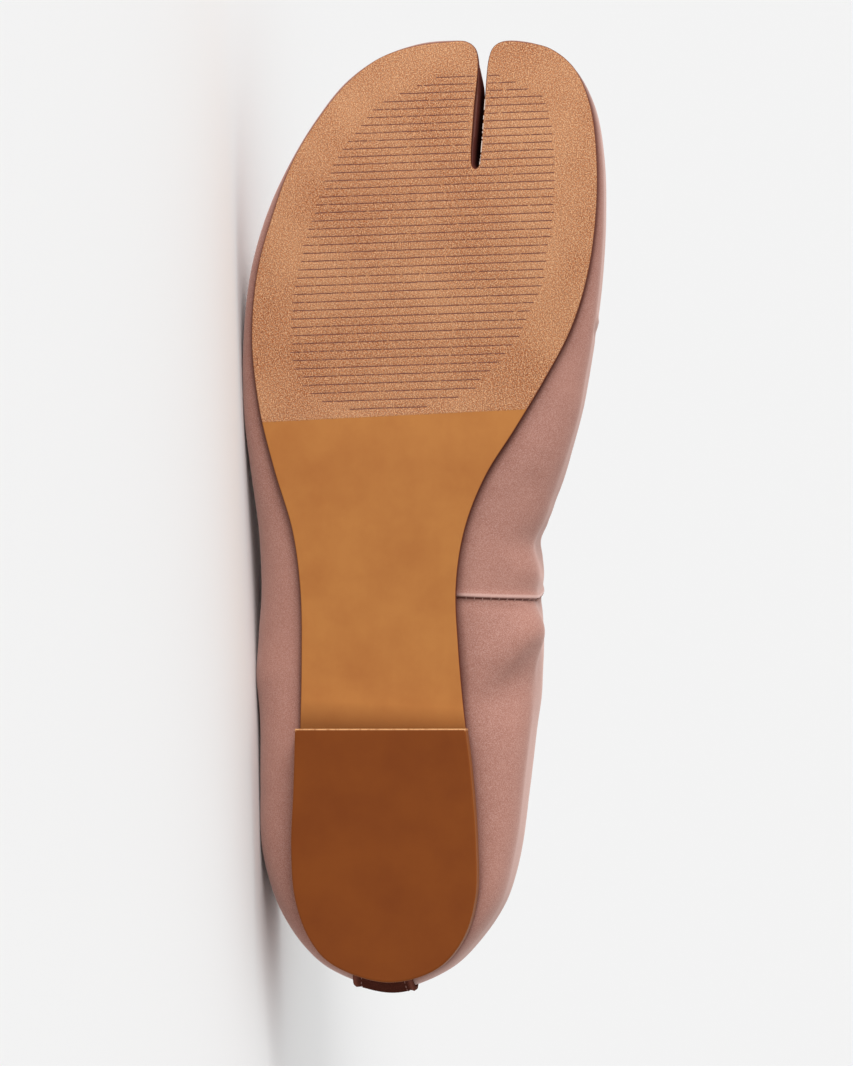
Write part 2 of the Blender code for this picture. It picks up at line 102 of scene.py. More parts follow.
# x, y of the sole's edge, overhang of the wall past it, height where it is widest, straight stretch
soleEdge = {
    "heel_back": (4.8, 4.0, 2.9, 9.0, 9.0),
    "heel_turn_outer": (8.6, -10.8, 3.35, 9.0, 9.0),
    "heel_corner_outer": (14.6, -16.9, 4.8, 9.0, 9.0),
    "heel_side_outer": (24.8, -21.3, 7.6, 9.0, 9.0),
    "heel_mid_outer": (38.0, -23.1, 10.6, 9.0, 9.0),
    "heel_front_outer": (54.0, -23.4, 11.7, 9.0, 9.0),
    "breast_outer": (70.0, -23.9, 12.2, 9.5, 9.0),
    "waist_rear_outer": (88.0, -24.5, 13.6, 10.0, 9.0),
    "waist_mid_outer": (106.0, -25.6, 12.0, 10.0, 9.0),
    "waist_front_outer": (122.0, -28.4, 10.4, 9.0, 8.0),
    "ball_rear_outer": (138.0, -34.0, 7.4, 7.0, 7.0),
    "ball_mid_outer": (154.0, -38.8, 5.1, 5.0, 6.0),
    "ball_outer": (172.0, -41.8, 3.0, 3.5, 5.0),
    "ball_front_outer": (190.0, -41.4, 2.5, 3.5, 5.0),
    "toes_rear_outer": (206.0, -38.1, 2.3, 3.5, 4.5),
    "toes_mid_outer": (220.0, -33.9, 1.2, 3.5, 4.0),
    "toes_front_outer": (232.0, -27.8, 1.1, 3.5, 3.5),
    "lobe_turn_outer": (242.0, -20.9, 1.1, 3.5, 3.0),
    "lobe_corner_outer": (249.3, -12.6, 0.7, 3.5, 3.0),
    "lobe_tip_outer": (253.2, -2.5, 1.0, 3.5, 3.0),
    "lobe_tip_mid": (254.45, 5.0, 0.9, 3.5, 3.0),
    "lobe_tip_slit": (254.8, 9.9, 0.5, 3.5, 3.0),
    "mouth_outer": (253.4, 12.4, 0.5, 3.5, 3.0),
    "slit_front_outer": (250.1, 13.65, 0.7, 3.5, 5.0),
    "slit_mid_outer": (236.0, 13.65, 1.1, 3.5, 9.0),
    "slit_rear_outer": (223.6, 13.8, 0.8, 3.5, 11.0),
    "slit_turn_outer": (221.1, 14.25, 0.6, 3.5, 12.0),
    "slit_root": (220.4, 15.05, 0.5, 3.5, 12.0),
    "slit_turn_inner": (221.1, 15.9, 0.4, 3.5, 12.0),
    "slit_rear_inner": (223.6, 16.2, 0.4, 3.5, 11.0),
    "slit_mid_inner": (236.0, 16.3, 0.4, 3.5, 9.0),
    "slit_front_inner": (250.6, 16.5, 0.4, 3.5, 5.0),
    "mouth_inner": (253.55, 17.45, 0.6, 3.5, 3.0),
    "big_toe_tip_slit": (255.1, 19.5, 0.7, 3.5, 3.0),
    "big_toe_tip_mid": (255.25, 25.8, 0.7, 3.5, 3.0),
    "big_toe_tip_inner": (253.8, 32.8, 0.1, 3.5, 1.5),
    "big_toe_corner_inner": (248.6, 39.6, 0.0, 3.5, 1.5),
    "big_toe_turn_inner": (239.0, 44.4, 0.7, 3.5, 3.0),
    "big_toe_side_inner": (226.0, 47.0, 1.2, 3.5, 5.0),
    "joint_front_inner": (210.0, 47.9, 1.7, 3.5, 6.0),
    "joint_mid_inner": (194.0, 46.7, 2.9, 4.0, 6.5),
    "joint_rear_inner": (179.0, 43.0, 5.6, 5.0, 7.0),
    "ball_rear_inner": (165.0, 36.6, 10.6, 7.0, 8.0),
    "waist_front_inner": (152.0, 29.7, 14.6, 9.0, 9.0),
    "waist_turn_inner": (139.0, 22.4, 17.6, 11.0, 9.0),
    "waist_mid_inner": (125.0, 17.65, 18.2, 12.0, 9.0),
    "arch_inner": (110.0, 16.0, 19.6, 12.0, 9.0),
    "waist_rear_inner": (94.0, 17.3, 20.4, 11.5, 9.0),
    "breast_inner": (78.0, 19.5, 17.9, 10.5, 9.0),
    "heel_front_inner": (60.0, 22.7, 13.4, 9.5, 9.0),
    "heel_mid_inner": (42.0, 25.0, 9.7, 9.0, 9.0),
    "heel_side_inner": (28.0, 25.6, 6.2, 9.0, 9.0),
    "heel_corner_inner": (17.0, 22.9, 2.6, 9.0, 9.0),
    "heel_turn_inner": (9.0, 16.6, 1.75, 9.0, 9.0),
}
edgeIndex = {where: k for k, where in enumerate(soleEdge)}
edgeRows = np.array(list(soleEdge.values()))

# topline of the collar, from the heel to the throat: x, y outer, y inner, height
topline = np.array([
    (6.0, 3.4, 3.4, 54.0),
    (9.5, -12.0, 16.6, 53.5),
    (18.0, -23.4, 24.2, 52.0),
    (34.0, -31.2, 31.8, 49.0),
    (54.0, -34.4, 34.4, 46.0),
    (76.0, -35.8, 35.9, 44.0),
    (98.0, -36.8, 36.1, 43.0),
    (119.0, -37.2, 34.9, 42.0),
    (138.0, -36.6, 37.2, 40.5),
    (155.0, -33.0, 36.0, 39.5),
    (169.0, -25.5, 31.0, 39.5),
    (179.5, -13.5, 20.5, 41.0),
    (184.0, 3.0, 3.0, 42.0),
])
ridges = {
    "outerTop": topline[:, (0, 1, 3)],
    "innerTop": topline[:, (0, 2, 3)],
    "vamp": np.array([(184.0, 3.0, 42.0), (192.0, 6.0, 38.0), (201.0, 9.0, 34.0)]),
    "lobe": np.array([(201.0, 9.0, 34.0), (219.0, 1.5, 29.0), (237.0, -3.0, 25.0)]),
    "bigToe": np.array([(201.0, 9.0, 34.0), (221.0, 25.0, 29.5), (241.0, 31.0, 26.0)]),
}
topTurn = {"open": math.radians(38), "closed": math.radians(90), "throatShare": 0.28}

# stretches of the upper: start, end, columns, ridge, way along the ridge
runs = [
    ("heel_back", "ball_front_outer", 30, "outerTop", 1),
    ("ball_front_outer", "toes_rear_outer", 3, "vamp", 1),
    ("toes_rear_outer", "lobe_turn_outer", 8, "lobe", 1),
    ("lobe_turn_outer", "mouth_outer", 9, "lobe", 0),
    ("mouth_outer", "slit_rear_outer", 8, "lobe", -1),
    ("slit_rear_outer", "slit_rear_inner", 5, "vamp", 0),
    ("slit_rear_inner", "mouth_inner", 8, "bigToe", 1),
    ("mouth_inner", "big_toe_turn_inner", 8, "bigToe", 0),
    ("big_toe_turn_inner", "joint_front_inner", 8, "bigToe", -1),
    ("joint_front_inner", "joint_mid_inner", 3, "vamp", -1),
    ("joint_mid_inner", "heel_back", 30, "innerTop", -1),
]

quarterTurn = math.radians(90)
edgeLook = 0.02  # how far to both sides a tangent looks, in rows of the sole's edge
ridgeLook = 0.01  # the same as a share of a ridge


def smooth(t):
    t = np.clip(t, 0.0, 1.0)
    return t * t * (3.0 - 2.0 * t)


def bell(t):
    return np.exp(-t ** 2)


def band(t, start, rise, end, fall):
    # 1 between start and end, with soft ends
    return smooth((t - start) / rise) * smooth((end - t) / fall)


def mixed(a, b, t):
    return a + (b - a) * t


def unit(v):
    return v / np.maximum(np.linalg.norm(v, axis=-1, keepdims=True), 1e-12)


def walked(rows):
    # length of the way along the first axis up to each point
    steps = np.linalg.norm(np.diff(rows, axis=0), axis=-1)
    return np.concatenate([np.zeros_like(steps[:1]), np.cumsum(steps, axis=0)])


def spline(rows, u, closed):
    rows = np.asarray(rows, float)
    u = np.atleast_1d(np.asarray(u, float))
    count = len(rows)
    i = np.floor(u).astype(int)
    if not closed:
        i = np.clip(i, 0, count - 2)
    t = (u - i)[:, None]

    def row(k):
        return rows[k % count] if closed else rows[np.clip(k, 0, count - 1)]

    def gap(p, q):
        return np.maximum(np.linalg.norm((p - q)[:, :2], axis=1), 1e-6)[:, None] ** 0.5

    before, a, b, after = row(i - 1), row(i), row(i + 1), row(i + 2)
    d0, d1, d2 = gap(before, a), gap(a, b), gap(b, after)
    m1 = (b - a) + d1 * ((a - before) / d0 - (b - before) / (d0 + d1))
    m2 = (b - a) + d1 * ((after - b) / d2 - (after - a) / (d1 + d2))
    if not closed:
        m1 = np.where((i == 0)[:, None], b - a, m1)
        m2 = np.where((i == count - 2)[:, None], b - a, m2)
    h, c = t * t, t * t * t
    return (2 * c - 3 * h + 1) * a + (c - 2 * h + t) * m1 + (3 * h - 2 * c) * b + (c - h) * m2


def edgeAt(u):
    u, count = np.asarray(u, float), len(edgeRows)
    values = spline(edgeRows, np.mod(u, count), True)
    ahead = spline(edgeRows, np.mod(u + edgeLook, count), True)
    behind = spline(edgeRows, np.mod(u - edgeLook, count), True)
    along = unit(ahead[:, :2] - behind[:, :2])
    out = np.stack((along[:, 1], -along[:, 0]), 1)
    return values[:, :2], out, values[:, 2], values[:, 3], values[:, 4]


def soleUnderside(x):
    x = np.asarray(x, float)
    risen = smooth((shoe["treadBackX"] - x) / (shoe["treadBackX"] - shoe["seatX"]))
    front = np.maximum(x - shoe["treadFrontX"], 0.0) / (shoe["toeX"] - shoe["treadFrontX"])
    return (shoe["heelHeight"] + shoe["fitGap"]) * risen + shoe["toeSpring"] * front ** 2


def soleTop(x):
    return soleUnderside(x) + shoe["soleThickness"]


def ridgeAt(name, t):
    t = np.atleast_1d(np.asarray(t, float))
    side = -1 if name == "innerTop" else 1
    turn = np.full(len(t), topTurn["closed"])
    if name.endswith("Top"):
        share = topTurn["throatShare"]
        turn = mixed(topTurn["open"], topTurn["closed"], smooth((t - 1 + share) / share))
    rows = ridges[name]
    last = len(rows) - 1
    ahead = spline(rows, np.minimum(t + ridgeLook, 1.0) * last, False)
    behind = spline(rows, np.maximum(t - ridgeLook, 0.0) * last, False)
    along = ahead - behind
    away = side * unit(np.stack((along[:, 1], -along[:, 0]), 1))
    return spline(rows, t * last, False), turn, away


def sectionsAt(u, ridge, along):
    # sections of the wall at places of the sole's edge, each with its place along a ridge
    foot, out, overhang, bulge, upright = edgeAt(u)
    top, turn, away = ridgeAt(ridge, along)
    collar = np.full(len(top), ridge.endswith("Top"))
    return {"foot": foot, "out": out, "overhang": overhang, "bulge": bulge, "upright": upright,
            "top": top, "turn": turn, "away": away, "collar": collar}


def joined(parts):
    return {key: np.concatenate([part[key] for part in parts]) for key in parts[0]}


def makeColumns(finer, extra=()):
    # sections round the whole upper; extra holds stretches of the edge with more: start, end, count
    parts = []
    for start, end, count, ridge, way in runs:
        first, last = edgeIndex[start], edgeIndex[end]
        if last <= first:
            last += len(edgeRows)
        ts = list(np.arange(count * finer) / (count * finer))
        for lowU, highU, more in extra:
            if first <= lowU and highU <= last:
                ts += list((np.linspace(lowU, highU, more) - first) / (last - first))
        t = np.unique(np.round(ts, 7))
        along = {1: t, -1: 1 - t, 0: np.ones_like(t)}[way]
        parts.append(sectionsAt(mixed(first, last, t), ridge, along))
    return joined(parts)


def wallRows(cols, grow, lower, straight, upper):
    # rows of points from the rim under the foot to the top; grow moves the whole wall outwards
    foot, out = cols["foot"], cols["out"]
    level = soleTop(foot[:, 0]) + shoe["fitGap"]
    feather = foot - out * shoe["featherInset"]
    reach = cols["overhang"] + shoe["featherInset"]
    wide = np.maximum(reach + grow, shoe["leastRadius"])
    tall = np.maximum(cols["bulge"] + grow, shoe["leastRadius"])
    start = reach + grow - wide
    rows = [np.column_stack((feather - out * shoe["lastingMargin"], level - grow))]
    for k in range(lower + 1):
        turned = quarterTurn * k / lower
        at = feather + out * (start + wide * math.sin(turned))[:, None]
        rows.append(np.column_stack((at, level - grow + tall * (1 - math.cos(turned)))))
    side = feather + out * (reach + grow)[:, None]  # the widest place
    shoulder = level + cols["bulge"] + cols["upright"]  # where the straight stretch ends
    face = feather + out * reach[:, None]
    top, turn, away = cols["top"], cols["turn"], cols["away"]
    run = np.linalg.norm(top[:, :2] - face, axis=1)
    sideways = run * np.sin(turn) / (1 - np.cos(turn))
    upwards = (top[:, 2] - shoulder) * np.cos(turn) / np.sin(turn)
    normal = unit(np.stack((upwards, sideways), 1))
    end = top + grow * np.column_stack((away * normal[:, :1], normal[:, 1]))
    for k in range(1, straight):
        share = k / straight
        rows.append(np.column_stack((side, mixed(rows[lower + 1][:, 2], shoulder, share))))
    for k in range(upper + 1):
        turned = turn * k / upper
        at = side + (end[:, :2] - side) * ((1 - np.cos(turned)) / (1 - np.cos(turn)))[:, None]
        high = shoulder + (end[:, 2] - shoulder) * np.sin(turned) / np.sin(turn)
        rows.append(np.column_stack((at, high)))
    return np.array(rows)


print("materials")


class TreeTools:
    def __init__(self, tree):
        self.tree = tree

    def node(self, kind, values=None, **links):
        made = self.tree.nodes.new(kind)
        for key, value in (values or {}).items():
            if hasattr(made, key):
                setattr(made, key, value)
            else:
                made.inputs[key].default_value = value
        for key, source in links.items():
            self.tree.links.new(source, made.inputs[key.replace("_", " ")])
        return made

    def put(self, socket, value):
        # a socket takes a link, a colour or a number
        if isinstance(value, bpy.types.NodeSocket):
            self.tree.links.new(value, socket)
        else:
            socket.default_value = (*value, 1.0) if isinstance(value, tuple) else value

    def math(self, how, a, b, clamp=False):
        made = self.node("ShaderNodeMath", {"operation": how, "use_clamp": clamp})
        self.put(made.inputs[0], a)
        self.put(made.inputs[1], b)
        return made.outputs[0]


class MaterialTree(TreeTools):
    def __init__(self, name):
        self.material = bpy.data.materials.new(name)
        self.material.use_nodes = True
        super().__init__(self.material.node_tree)
        self.shader = self.tree.nodes["Principled BSDF"]

    def coords(self, scale=(1.0, 1.0, 1.0), uv=None, turn=(0.0, 0.0, 0.0)):
        if uv:
            source = self.node("ShaderNodeUVMap", {"uv_map": uv}).outputs["UV"]
        else:
            source = self.node("ShaderNodeTexCoord").outputs["Object"]
        mapping = self.node("ShaderNodeMapping", {"Scale": scale, "Rotation": turn}, Vector=source)
        return mapping.outputs["Vector"]

    def noise(self, vector, scale, detail, rough):
        values = {"Scale": scale, "Detail": detail, "Roughness": rough}
        return self.node("ShaderNodeTexNoise", values, Vector=vector).outputs["Fac"]

    def cells(self, vector, scale):
        return self.node("ShaderNodeTexVoronoi", {"Scale": scale}, Vector=vector).outputs["Distance"]

    def ramp(self, fac, places, colors):
        made = self.node("ShaderNodeValToRGB", Fac=fac)
        elements = made.color_ramp.elements
        for place in places[1:-1]:
            elements.new(place)
        for element, place, color in zip(elements, places, colors):
            element.position = place
            element.color = (*color, 1.0) if isinstance(color, tuple) else (color, color, color, 1.0)
        return made.outputs["Color"]

    def mix(self, fac, a, b):
        made = self.node("ShaderNodeMix", {"data_type": "RGBA"})
        for socket, value in ((made.inputs[0], fac), (made.inputs[6], a), (made.inputs[7], b)):
            self.put(socket, value)  # of the node's sockets, 6 and 7 are the colours
        return made.outputs[2]

    def layered(self, color, noises, values):
        # one colour after another over the first, each where its noise says
        for noise, places, shares, over in values["layers"]:
            color = self.mix(self.ramp(noises[noise], places, shares), color, values[over])
        return color

    def attribute(self, name):
        return self.node("ShaderNodeAttribute", {"attribute_name": name}).outputs["Fac"]

    def bump(self, height, strength, distance, normal=None):
        links = {"Height": height}
        if normal:
            links["Normal"] = normal
        values = {"Strength": strength, "Distance": distance}
        return self.node("ShaderNodeBump", values, **links).outputs["Normal"]

    def finish(self, color, roughness, normal=None, **values):
        self.put(self.shader.inputs["Base Color"], color)
        self.put(self.shader.inputs["Roughness"], roughness)
        if normal is not None:
            self.put(self.shader.inputs["Normal"], normal)
        for key, value in values.items():
            self.shader.inputs[key.replace("_", " ")].default_value = value
        return self.material


# In each look a noise is its scale, detail and roughness, and a bump its strength and distance in
# metres. A layer is a noise, two places on its ramp, the shares there, and the colour it brings.
satin = {
    "color": (0.352, 0.169, 0.129),
    "shade": (0.323, 0.151, 0.114),
    "light": (0.380, 0.190, 0.147),
    # paler grain, and the painted highlight on the seam's lip and the strip's folds
    "pale": (0.56, 0.37, 0.33),
    # darker grain, and the painted shade in the seam's groove and deep in the slit
    "dark": (0.15, 0.042, 0.032),
    "tucked": (0.09, 0.022, 0.013),  # painted shade on the satin beside the sole's edge
    "mottledAt": (0.3, 0.5, 0.7),
    "threadStretch": (0.25, 1.0, 1.0),
    "thread": (3400.0, 3.0, 0.6),
    "mottle": (260.0, 4.0, 0.6),
    "grain": (4200.0, 1.0, 0.5),
    "cloud": (42.0, 3.0, 0.5),
    "layers": (
        ("thread", (0.40, 0.62), (0.0, 0.8), "shade"),
        ("grain", (0.36, 0.5), (0.3, 0.0), "pale"),
        ("grain", (0.5, 0.64), (0.0, 0.3), "dark"),
        ("cloud", (0.35, 0.7), (0.0, 0.3), "light"),
    ),
    # shares of the lip's painted highlight, the painted shade by the sole's edge and the groove's painted
    # shade
    "lipHighlightShare": 0.6,
    "tuckShare": 0.92,
    "grooveShadeShare": 0.9,
    "roughness": 0.46,
    "roughnessSpread": 0.12,
    "slitRoughness": 0.5,  # more than elsewhere
    "mottleBump": (0.12, 0.0003),
    "threadBump": (0.3, 0.00004),
    "sheen": 0.39,
    "sheenRoughness": 0.5,
    "sheenTint": (1.0, 0.71, 0.64, 1.0),
    "specular": 0.16,
}
# the strip is the pink satin in painted shade: dark all over, with a painted highlight on its folded
# edges
stripSatinShaded = dict(
    satin,
    color=(0.037, 0.009, 0.0055),
    shade=(0.030, 0.0072, 0.0044),
    light=(0.046, 0.0117, 0.0073),
    pale=(0.22, 0.075, 0.052),
    specular=0.0,
    sheen=0.0,
)
# the slit's faces: satin without sheen, with a darker colour for the painted shade deep in the slit
slitSatin = dict(satin, dark=(0.125, 0.036, 0.027), specular=0.0, sheen=0.0)


def makeSatin(name, values):
    m = MaterialTree(name)
    plain = m.coords()
    noises = {key: m.noise(plain, *values[key]) for key in ("mottle", "grain", "cloud")}
    noises["thread"] = m.noise(m.coords(values["threadStretch"], "satinUv"), *values["thread"])
    colors = (values["shade"], values["color"], values["light"])
    color = m.layered(m.ramp(noises["mottle"], values["mottledAt"], colors), noises, values)
    # painted highlight on the seam's folded lip and on the strip's folded edges
    color = m.mix(m.math("MULTIPLY", m.attribute("lip"), values["lipHighlightShare"]), color, values["pale"])
    # painted shade on the satin beside the sole's edge
    color = m.mix(m.math("MULTIPLY", m.attribute("tuck"), values["tuckShare"]), color, values["tucked"])
    # painted shade deep in the slit and in the side seam's groove
    slit = m.attribute("slit")
    groove = m.math("MULTIPLY", m.attribute("groove"), values["grooveShadeShare"])
    color = m.mix(m.math("MAXIMUM", groove, slit), color, values["dark"])
    rough = m.math("MULTIPLY", noises["mottle"], values["roughnessSpread"])
    rough = m.math("ADD", rough, values["roughness"])
    rough = m.math("ADD", rough, m.math("MULTIPLY", slit, values["slitRoughness"]), True)
    normal = m.bump(noises["thread"], *values["threadBump"])
    normal = m.bump(noises["mottle"], *values["mottleBump"], normal)
    return m.finish(color, rough, normal,
                    Sheen_Weight=values["sheen"],
                    Sheen_Roughness=values["sheenRoughness"],
                    Sheen_Tint=values["sheenTint"],
                    Specular_IOR_Level=values["specular"])


liningLook = {
    "color": (0.60, 0.47, 0.37),
    "shade": (0.50, 0.38, 0.29),
    "mottledAt": (0.3, 0.65),
    "mottle": (90.0, 4.0, 0.6),
    "grainScale": 1500.0,
    "grainBump": (0.4, 0.00008),
    "roughness": 0.75,
}


def makeLining():
    m = MaterialTree("paleLining")
    plain = m.coords()
    mottle = m.noise(plain, *liningLook["mottle"])
    color = m.ramp(mottle, liningLook["mottledAt"], (liningLook["shade"], liningLook["color"]))
    normal = m.bump(m.cells(plain, liningLook["grainScale"]), *liningLook["grainBump"])
    return m.finish(color, liningLook["roughness"], normal)


soleLook = {
    "grip": (0.30, 0.119, 0.048),
    "gripDark": (0.13, 0.029, 0.008),
    "gripPale": (0.63, 0.355, 0.185),
    "gripGrey": (0.35, 0.20, 0.128),
    "gripOrange": (0.38, 0.096, 0.02),
    "waist": (0.387, 0.152, 0.0365),
    "waistDeep": (0.337, 0.121, 0.028),
    # painted shade on the waist before the heel's breast
    "breastShade": (0.155, 0.052, 0.010),
    "rim": (0.11, 0.022, 0.009),
    "speck": (3300.0, 2.0, 0.6),
    "fleck": (1386.0, 2.0, 0.55),
    "cloud": (45.0, 3.0, 0.5),
    "hue": (2640.0, 2.0, 0.6),
    "hueTurn": (0.0, 0.0, 0.9),
    "speckledAt": (0.38, 0.5, 0.62),
    "layers": (
        ("hue", (0.5, 0.62), (0.0, 0.55), "gripGrey"),
        ("hue", (0.38, 0.5), (0.6, 0.0), "gripOrange"),
        ("fleck", (0.58, 0.7), (0.0, 0.4), "gripDark"),
        ("fleck", (0.3, 0.42), (0.45, 0.0), "gripPale"),
        ("cloud", (0.35, 0.7), (0.0, 0.25), "gripPale"),
    ),
    "hide": (55.0, 4.0, 0.6),
    "hideAt": (0.3, 0.62),
    "streakStretch": (0.15, 1.0, 1.0),
    "streak": (260.0, 3.0, 0.5),
    "streaksAt": (0.45, 0.75),
    "streakShares": (0.0, 0.2),
    "gripEdge": ((150.4, -37.2), (157.2, 31.2)),  # the rough grip ends on this line
    "gripEdgeRagged": 0.5,
    "gripEdgeBlend": 0.25,
    "breastShadeWidth": 6.5,  # painted shade, in front of the heel's breast
    "breastShadeShare": 0.75,
    "gripBump": (0.5, 0.0001),
    "hideGrain": (1200.0, 3.0, 0.6),
    "hideBump": (0.15, 0.00004),
    "waistRoughness": 0.5,
    "gripRoughness": 0.25,  # more than the waist's
    "specular": 0.18,
}


def makeSoleLeather():
    m = MaterialTree("tanSole")
    plain = m.coords(uv="soleUv")
    noises = {key: m.noise(plain, *soleLook[key]) for key in ("speck", "fleck", "cloud")}
    noises["hue"] = m.noise(m.coords(uv="soleUv", turn=soleLook["hueTurn"]), *soleLook["hue"])
    colors = (soleLook["gripDark"], soleLook["grip"], soleLook["gripPale"])
    grip = m.ramp(noises["speck"], soleLook["speckledAt"], colors)
    grip = m.layered(grip, noises, soleLook)
    hide = m.noise(plain, *soleLook["hide"])
    hide = m.ramp(hide, soleLook["hideAt"], (soleLook["waistDeep"], soleLook["waist"]))
    streaks = m.noise(m.coords(soleLook["streakStretch"], "soleUv"), *soleLook["streak"])
    streaks = m.ramp(streaks, soleLook["streaksAt"], soleLook["streakShares"])
    hide = m.mix(streaks, hide, soleLook["waistDeep"])
    axes = m.node("ShaderNodeSeparateXYZ", Vector=plain)
    (x0, y0), (x1, y1) = soleLook["gripEdge"]
    lean = (x1 - x0) / (y1 - y0)
    past = m.math("SUBTRACT", axes.outputs["X"], m.math("MULTIPLY", axes.outputs["Y"], lean))
    past = m.math("SUBTRACT", past, (x0 - y0 * lean) * mm)
    ragged = m.math("MULTIPLY", m.math("SUBTRACT", noises["fleck"], 0.5), soleLook["gripEdgeRagged"] * mm)
    past = m.math("DIVIDE", m.math("ADD", past, ragged), soleLook["gripEdgeBlend"] * mm)
    inGrip = m.math("ADD", past, 0.5, True)
    # painted shade on the waist just in front of the heel's breast
    ahead = m.math("SUBTRACT", axes.outputs["X"], shoe["breastX"] * mm)
    nearHeel = m.math("SUBTRACT", 1.0, m.math("DIVIDE", ahead, soleLook["breastShadeWidth"] * mm), True)
    hide = m.mix(m.math("MULTIPLY", nearHeel, soleLook["breastShadeShare"]), hide, soleLook["breastShade"])
    color = m.mix(m.attribute("edge"), m.mix(inGrip, hide, grip), soleLook["rim"])
    gripHeight = m.math("MULTIPLY", m.math("ADD", noises["speck"], noises["fleck"]), inGrip)
    normal = m.bump(m.noise(plain, *soleLook["hideGrain"]), *soleLook["hideBump"])
    normal = m.bump(gripHeight, *soleLook["gripBump"], normal)
    rough = m.math("MULTIPLY", inGrip, soleLook["gripRoughness"])
    rough = m.math("ADD", rough, soleLook["waistRoughness"])
    return m.finish(color, rough, normal, Specular_IOR_Level=soleLook["specular"])


heelLook = {
    "color": (0.17, 0.0415, 0.0048),
    "deep": (0.147, 0.0335, 0.004),
    "rim": (0.25, 0.075, 0.013),
    # painted highlight along the breast's edge
    "raw": (0.52, 0.265, 0.115),
    "cloud": (70.0, 4.0, 0.55),
    "cloudedAt": (0.3, 0.65),
    "crumbs": (1100.0, 2.0, 0.6),
    "crumbsAt": (0.3, 0.5),
    "crumbShares": (0.45, 1.0),
    "rimShare": 0.8,
    "grain": (1400.0, 3.0, 0.6),
    "grainBump": (0.2, 0.00005),
    "roughness": 0.42,
    "roughnessSpread": 0.15,
    "specular": 0.12,
}


def makeHeelLeather():
    m = MaterialTree("brownHeel")
    plain = m.coords()
    cloud = m.noise(plain, *heelLook["cloud"])
    crumbs = m.ramp(m.noise(plain, *heelLook["crumbs"]), heelLook["crumbsAt"], heelLook["crumbShares"])
    color = m.ramp(cloud, heelLook["cloudedAt"], (heelLook["deep"], heelLook["color"]))
    color = m.mix(m.math("MULTIPLY", m.attribute("edge"), heelLook["rimShare"]), color, heelLook["rim"])
    # painted highlight along the breast's edge, broken up by crumbs
    color = m.mix(m.math("MULTIPLY", m.attribute("raw"), crumbs), color, heelLook["raw"])
    normal = m.bump(m.noise(plain, *heelLook["grain"]), *heelLook["grainBump"])
    rough = m.math("MULTIPLY", cloud, heelLook["roughnessSpread"])
    rough = m.math("ADD", rough, heelLook["roughness"])
    return m.finish(color, rough, normal, Specular_IOR_Level=heelLook["specular"])


treadLineLook = {
    "dark": (0.11, 0.038, 0.036),
    "pale": (0.20, 0.080, 0.060),
    "grain": (1500.0, 2.0, 0.6),
    "roughness": 0.7,
    "specular": 0.15,
    "bump": None,
}
threadLook = {
    "dark": (0.34, 0.18, 0.15),
    "pale": (0.48, 0.29, 0.24),
    "grain": (3000.0, 2.0, 0.5),
    "roughness": 0.6,
    "specular": 0.2,
    "bump": (0.3, 0.00005),
}
# darker copy of the pink thread, painted in shade like the strip
shadedStripThreadLook = dict(threadLook, dark=(0.17, 0.07, 0.052), pale=(0.25, 0.115, 0.09))
frayLook = dict(threadLook, dark=(0.45, 0.33, 0.27), pale=(0.62, 0.50, 0.43))
threadColorsAt = (0.35, 0.65)


def makeThread(name, values):
    m = MaterialTree(name)
    twist = m.noise(m.coords(), *values["grain"])
    color = m.ramp(twist, threadColorsAt, (values["dark"], values["pale"]))
    normal = m.bump(twist, *values["bump"]) if values["bump"] else None
    return m.finish(color, values["roughness"], normal, Specular_IOR_Level=values["specular"])


looks = {
    "satin": makeSatin("pinkSatin", satin),
    "stripSatinShaded": makeSatin("deepSatin", stripSatinShaded),
    "slitSatin": makeSatin("slitSatin", slitSatin),
    "lining": makeLining(),
    "sole": makeSoleLeather(),
    "heel": makeHeelLeather(),
    "treadLine": makeThread("treadLine", treadLineLook),
    "thread": makeThread("pinkThread", threadLook),
    "stripThreadShaded": makeThread("deepThread", shadedStripThreadLook),
    "fray": makeThread("paleFray", frayLook),
}


def paint(mesh, **values):
    # values for each point of a mesh, which its material reads
    for name, value in values.items():
        mesh.attributes.new(name, "FLOAT", "POINT").data.foreach_set("value", value)


def meshObject(name, points, faces, material, weld=1e-6, uv=None, uvName=None, tuck=None):
    # points are in shoe millimetres; coinciding points are welded and the faces turned outwards
    mesh = bpy.data.meshes.new(name)
    mesh.from_pydata([tuple(p) for p in toRow(points)], [], [tuple(int(i) for i in f) for f in faces])
    if uv is not None:
        layer = mesh.uv_layers.new(name=uvName)
        loops = np.empty(len(mesh.loops), int)
        mesh.loops.foreach_get("vertex_index", loops)
        layer.data.foreach_set("uv", np.asarray(uv, float)[loops].ravel())
    if tuck is not None:
        paint(mesh, tuck=tuck)
    bm = bmesh.new()
    bm.from_mesh(mesh)
    bmesh.ops.remove_doubles(bm, verts=bm.verts[:], dist=weld)
    bmesh.ops.dissolve_degenerate(bm, dist=weld, edges=bm.edges[:])
    bmesh.ops.recalc_face_normals(bm, faces=bm.faces[:])
    bm.to_mesh(mesh)
    bm.free()
    mesh.shade_smooth()
    mesh.materials.append(material)
    obj = bpy.data.objects.new(name, mesh)
    bpy.context.scene.collection.objects.link(obj)
    return obj


def meshPoints(obj):
    co = np.empty(len(obj.data.vertices) * 3)
    obj.data.vertices.foreach_get("co", co)
    return toShoe(co.reshape(-1, 3))


def moveTo(obj, points):
    obj.data.vertices.foreach_set("co", toRow(points).ravel())
    obj.data.update()


def gridFaces(rowIds, keep=None):
    # quads between following rows of point numbers, closed round the columns
    faces = []
    for a, b in zip(rowIds[:-1], rowIds[1:]):
        c, d = np.roll(b, -1), np.roll(a, -1)
        quad = np.stack((a, d, c, b), 1)
        faces.append(quad if keep is None else quad[keep])
    return np.concatenate(faces)


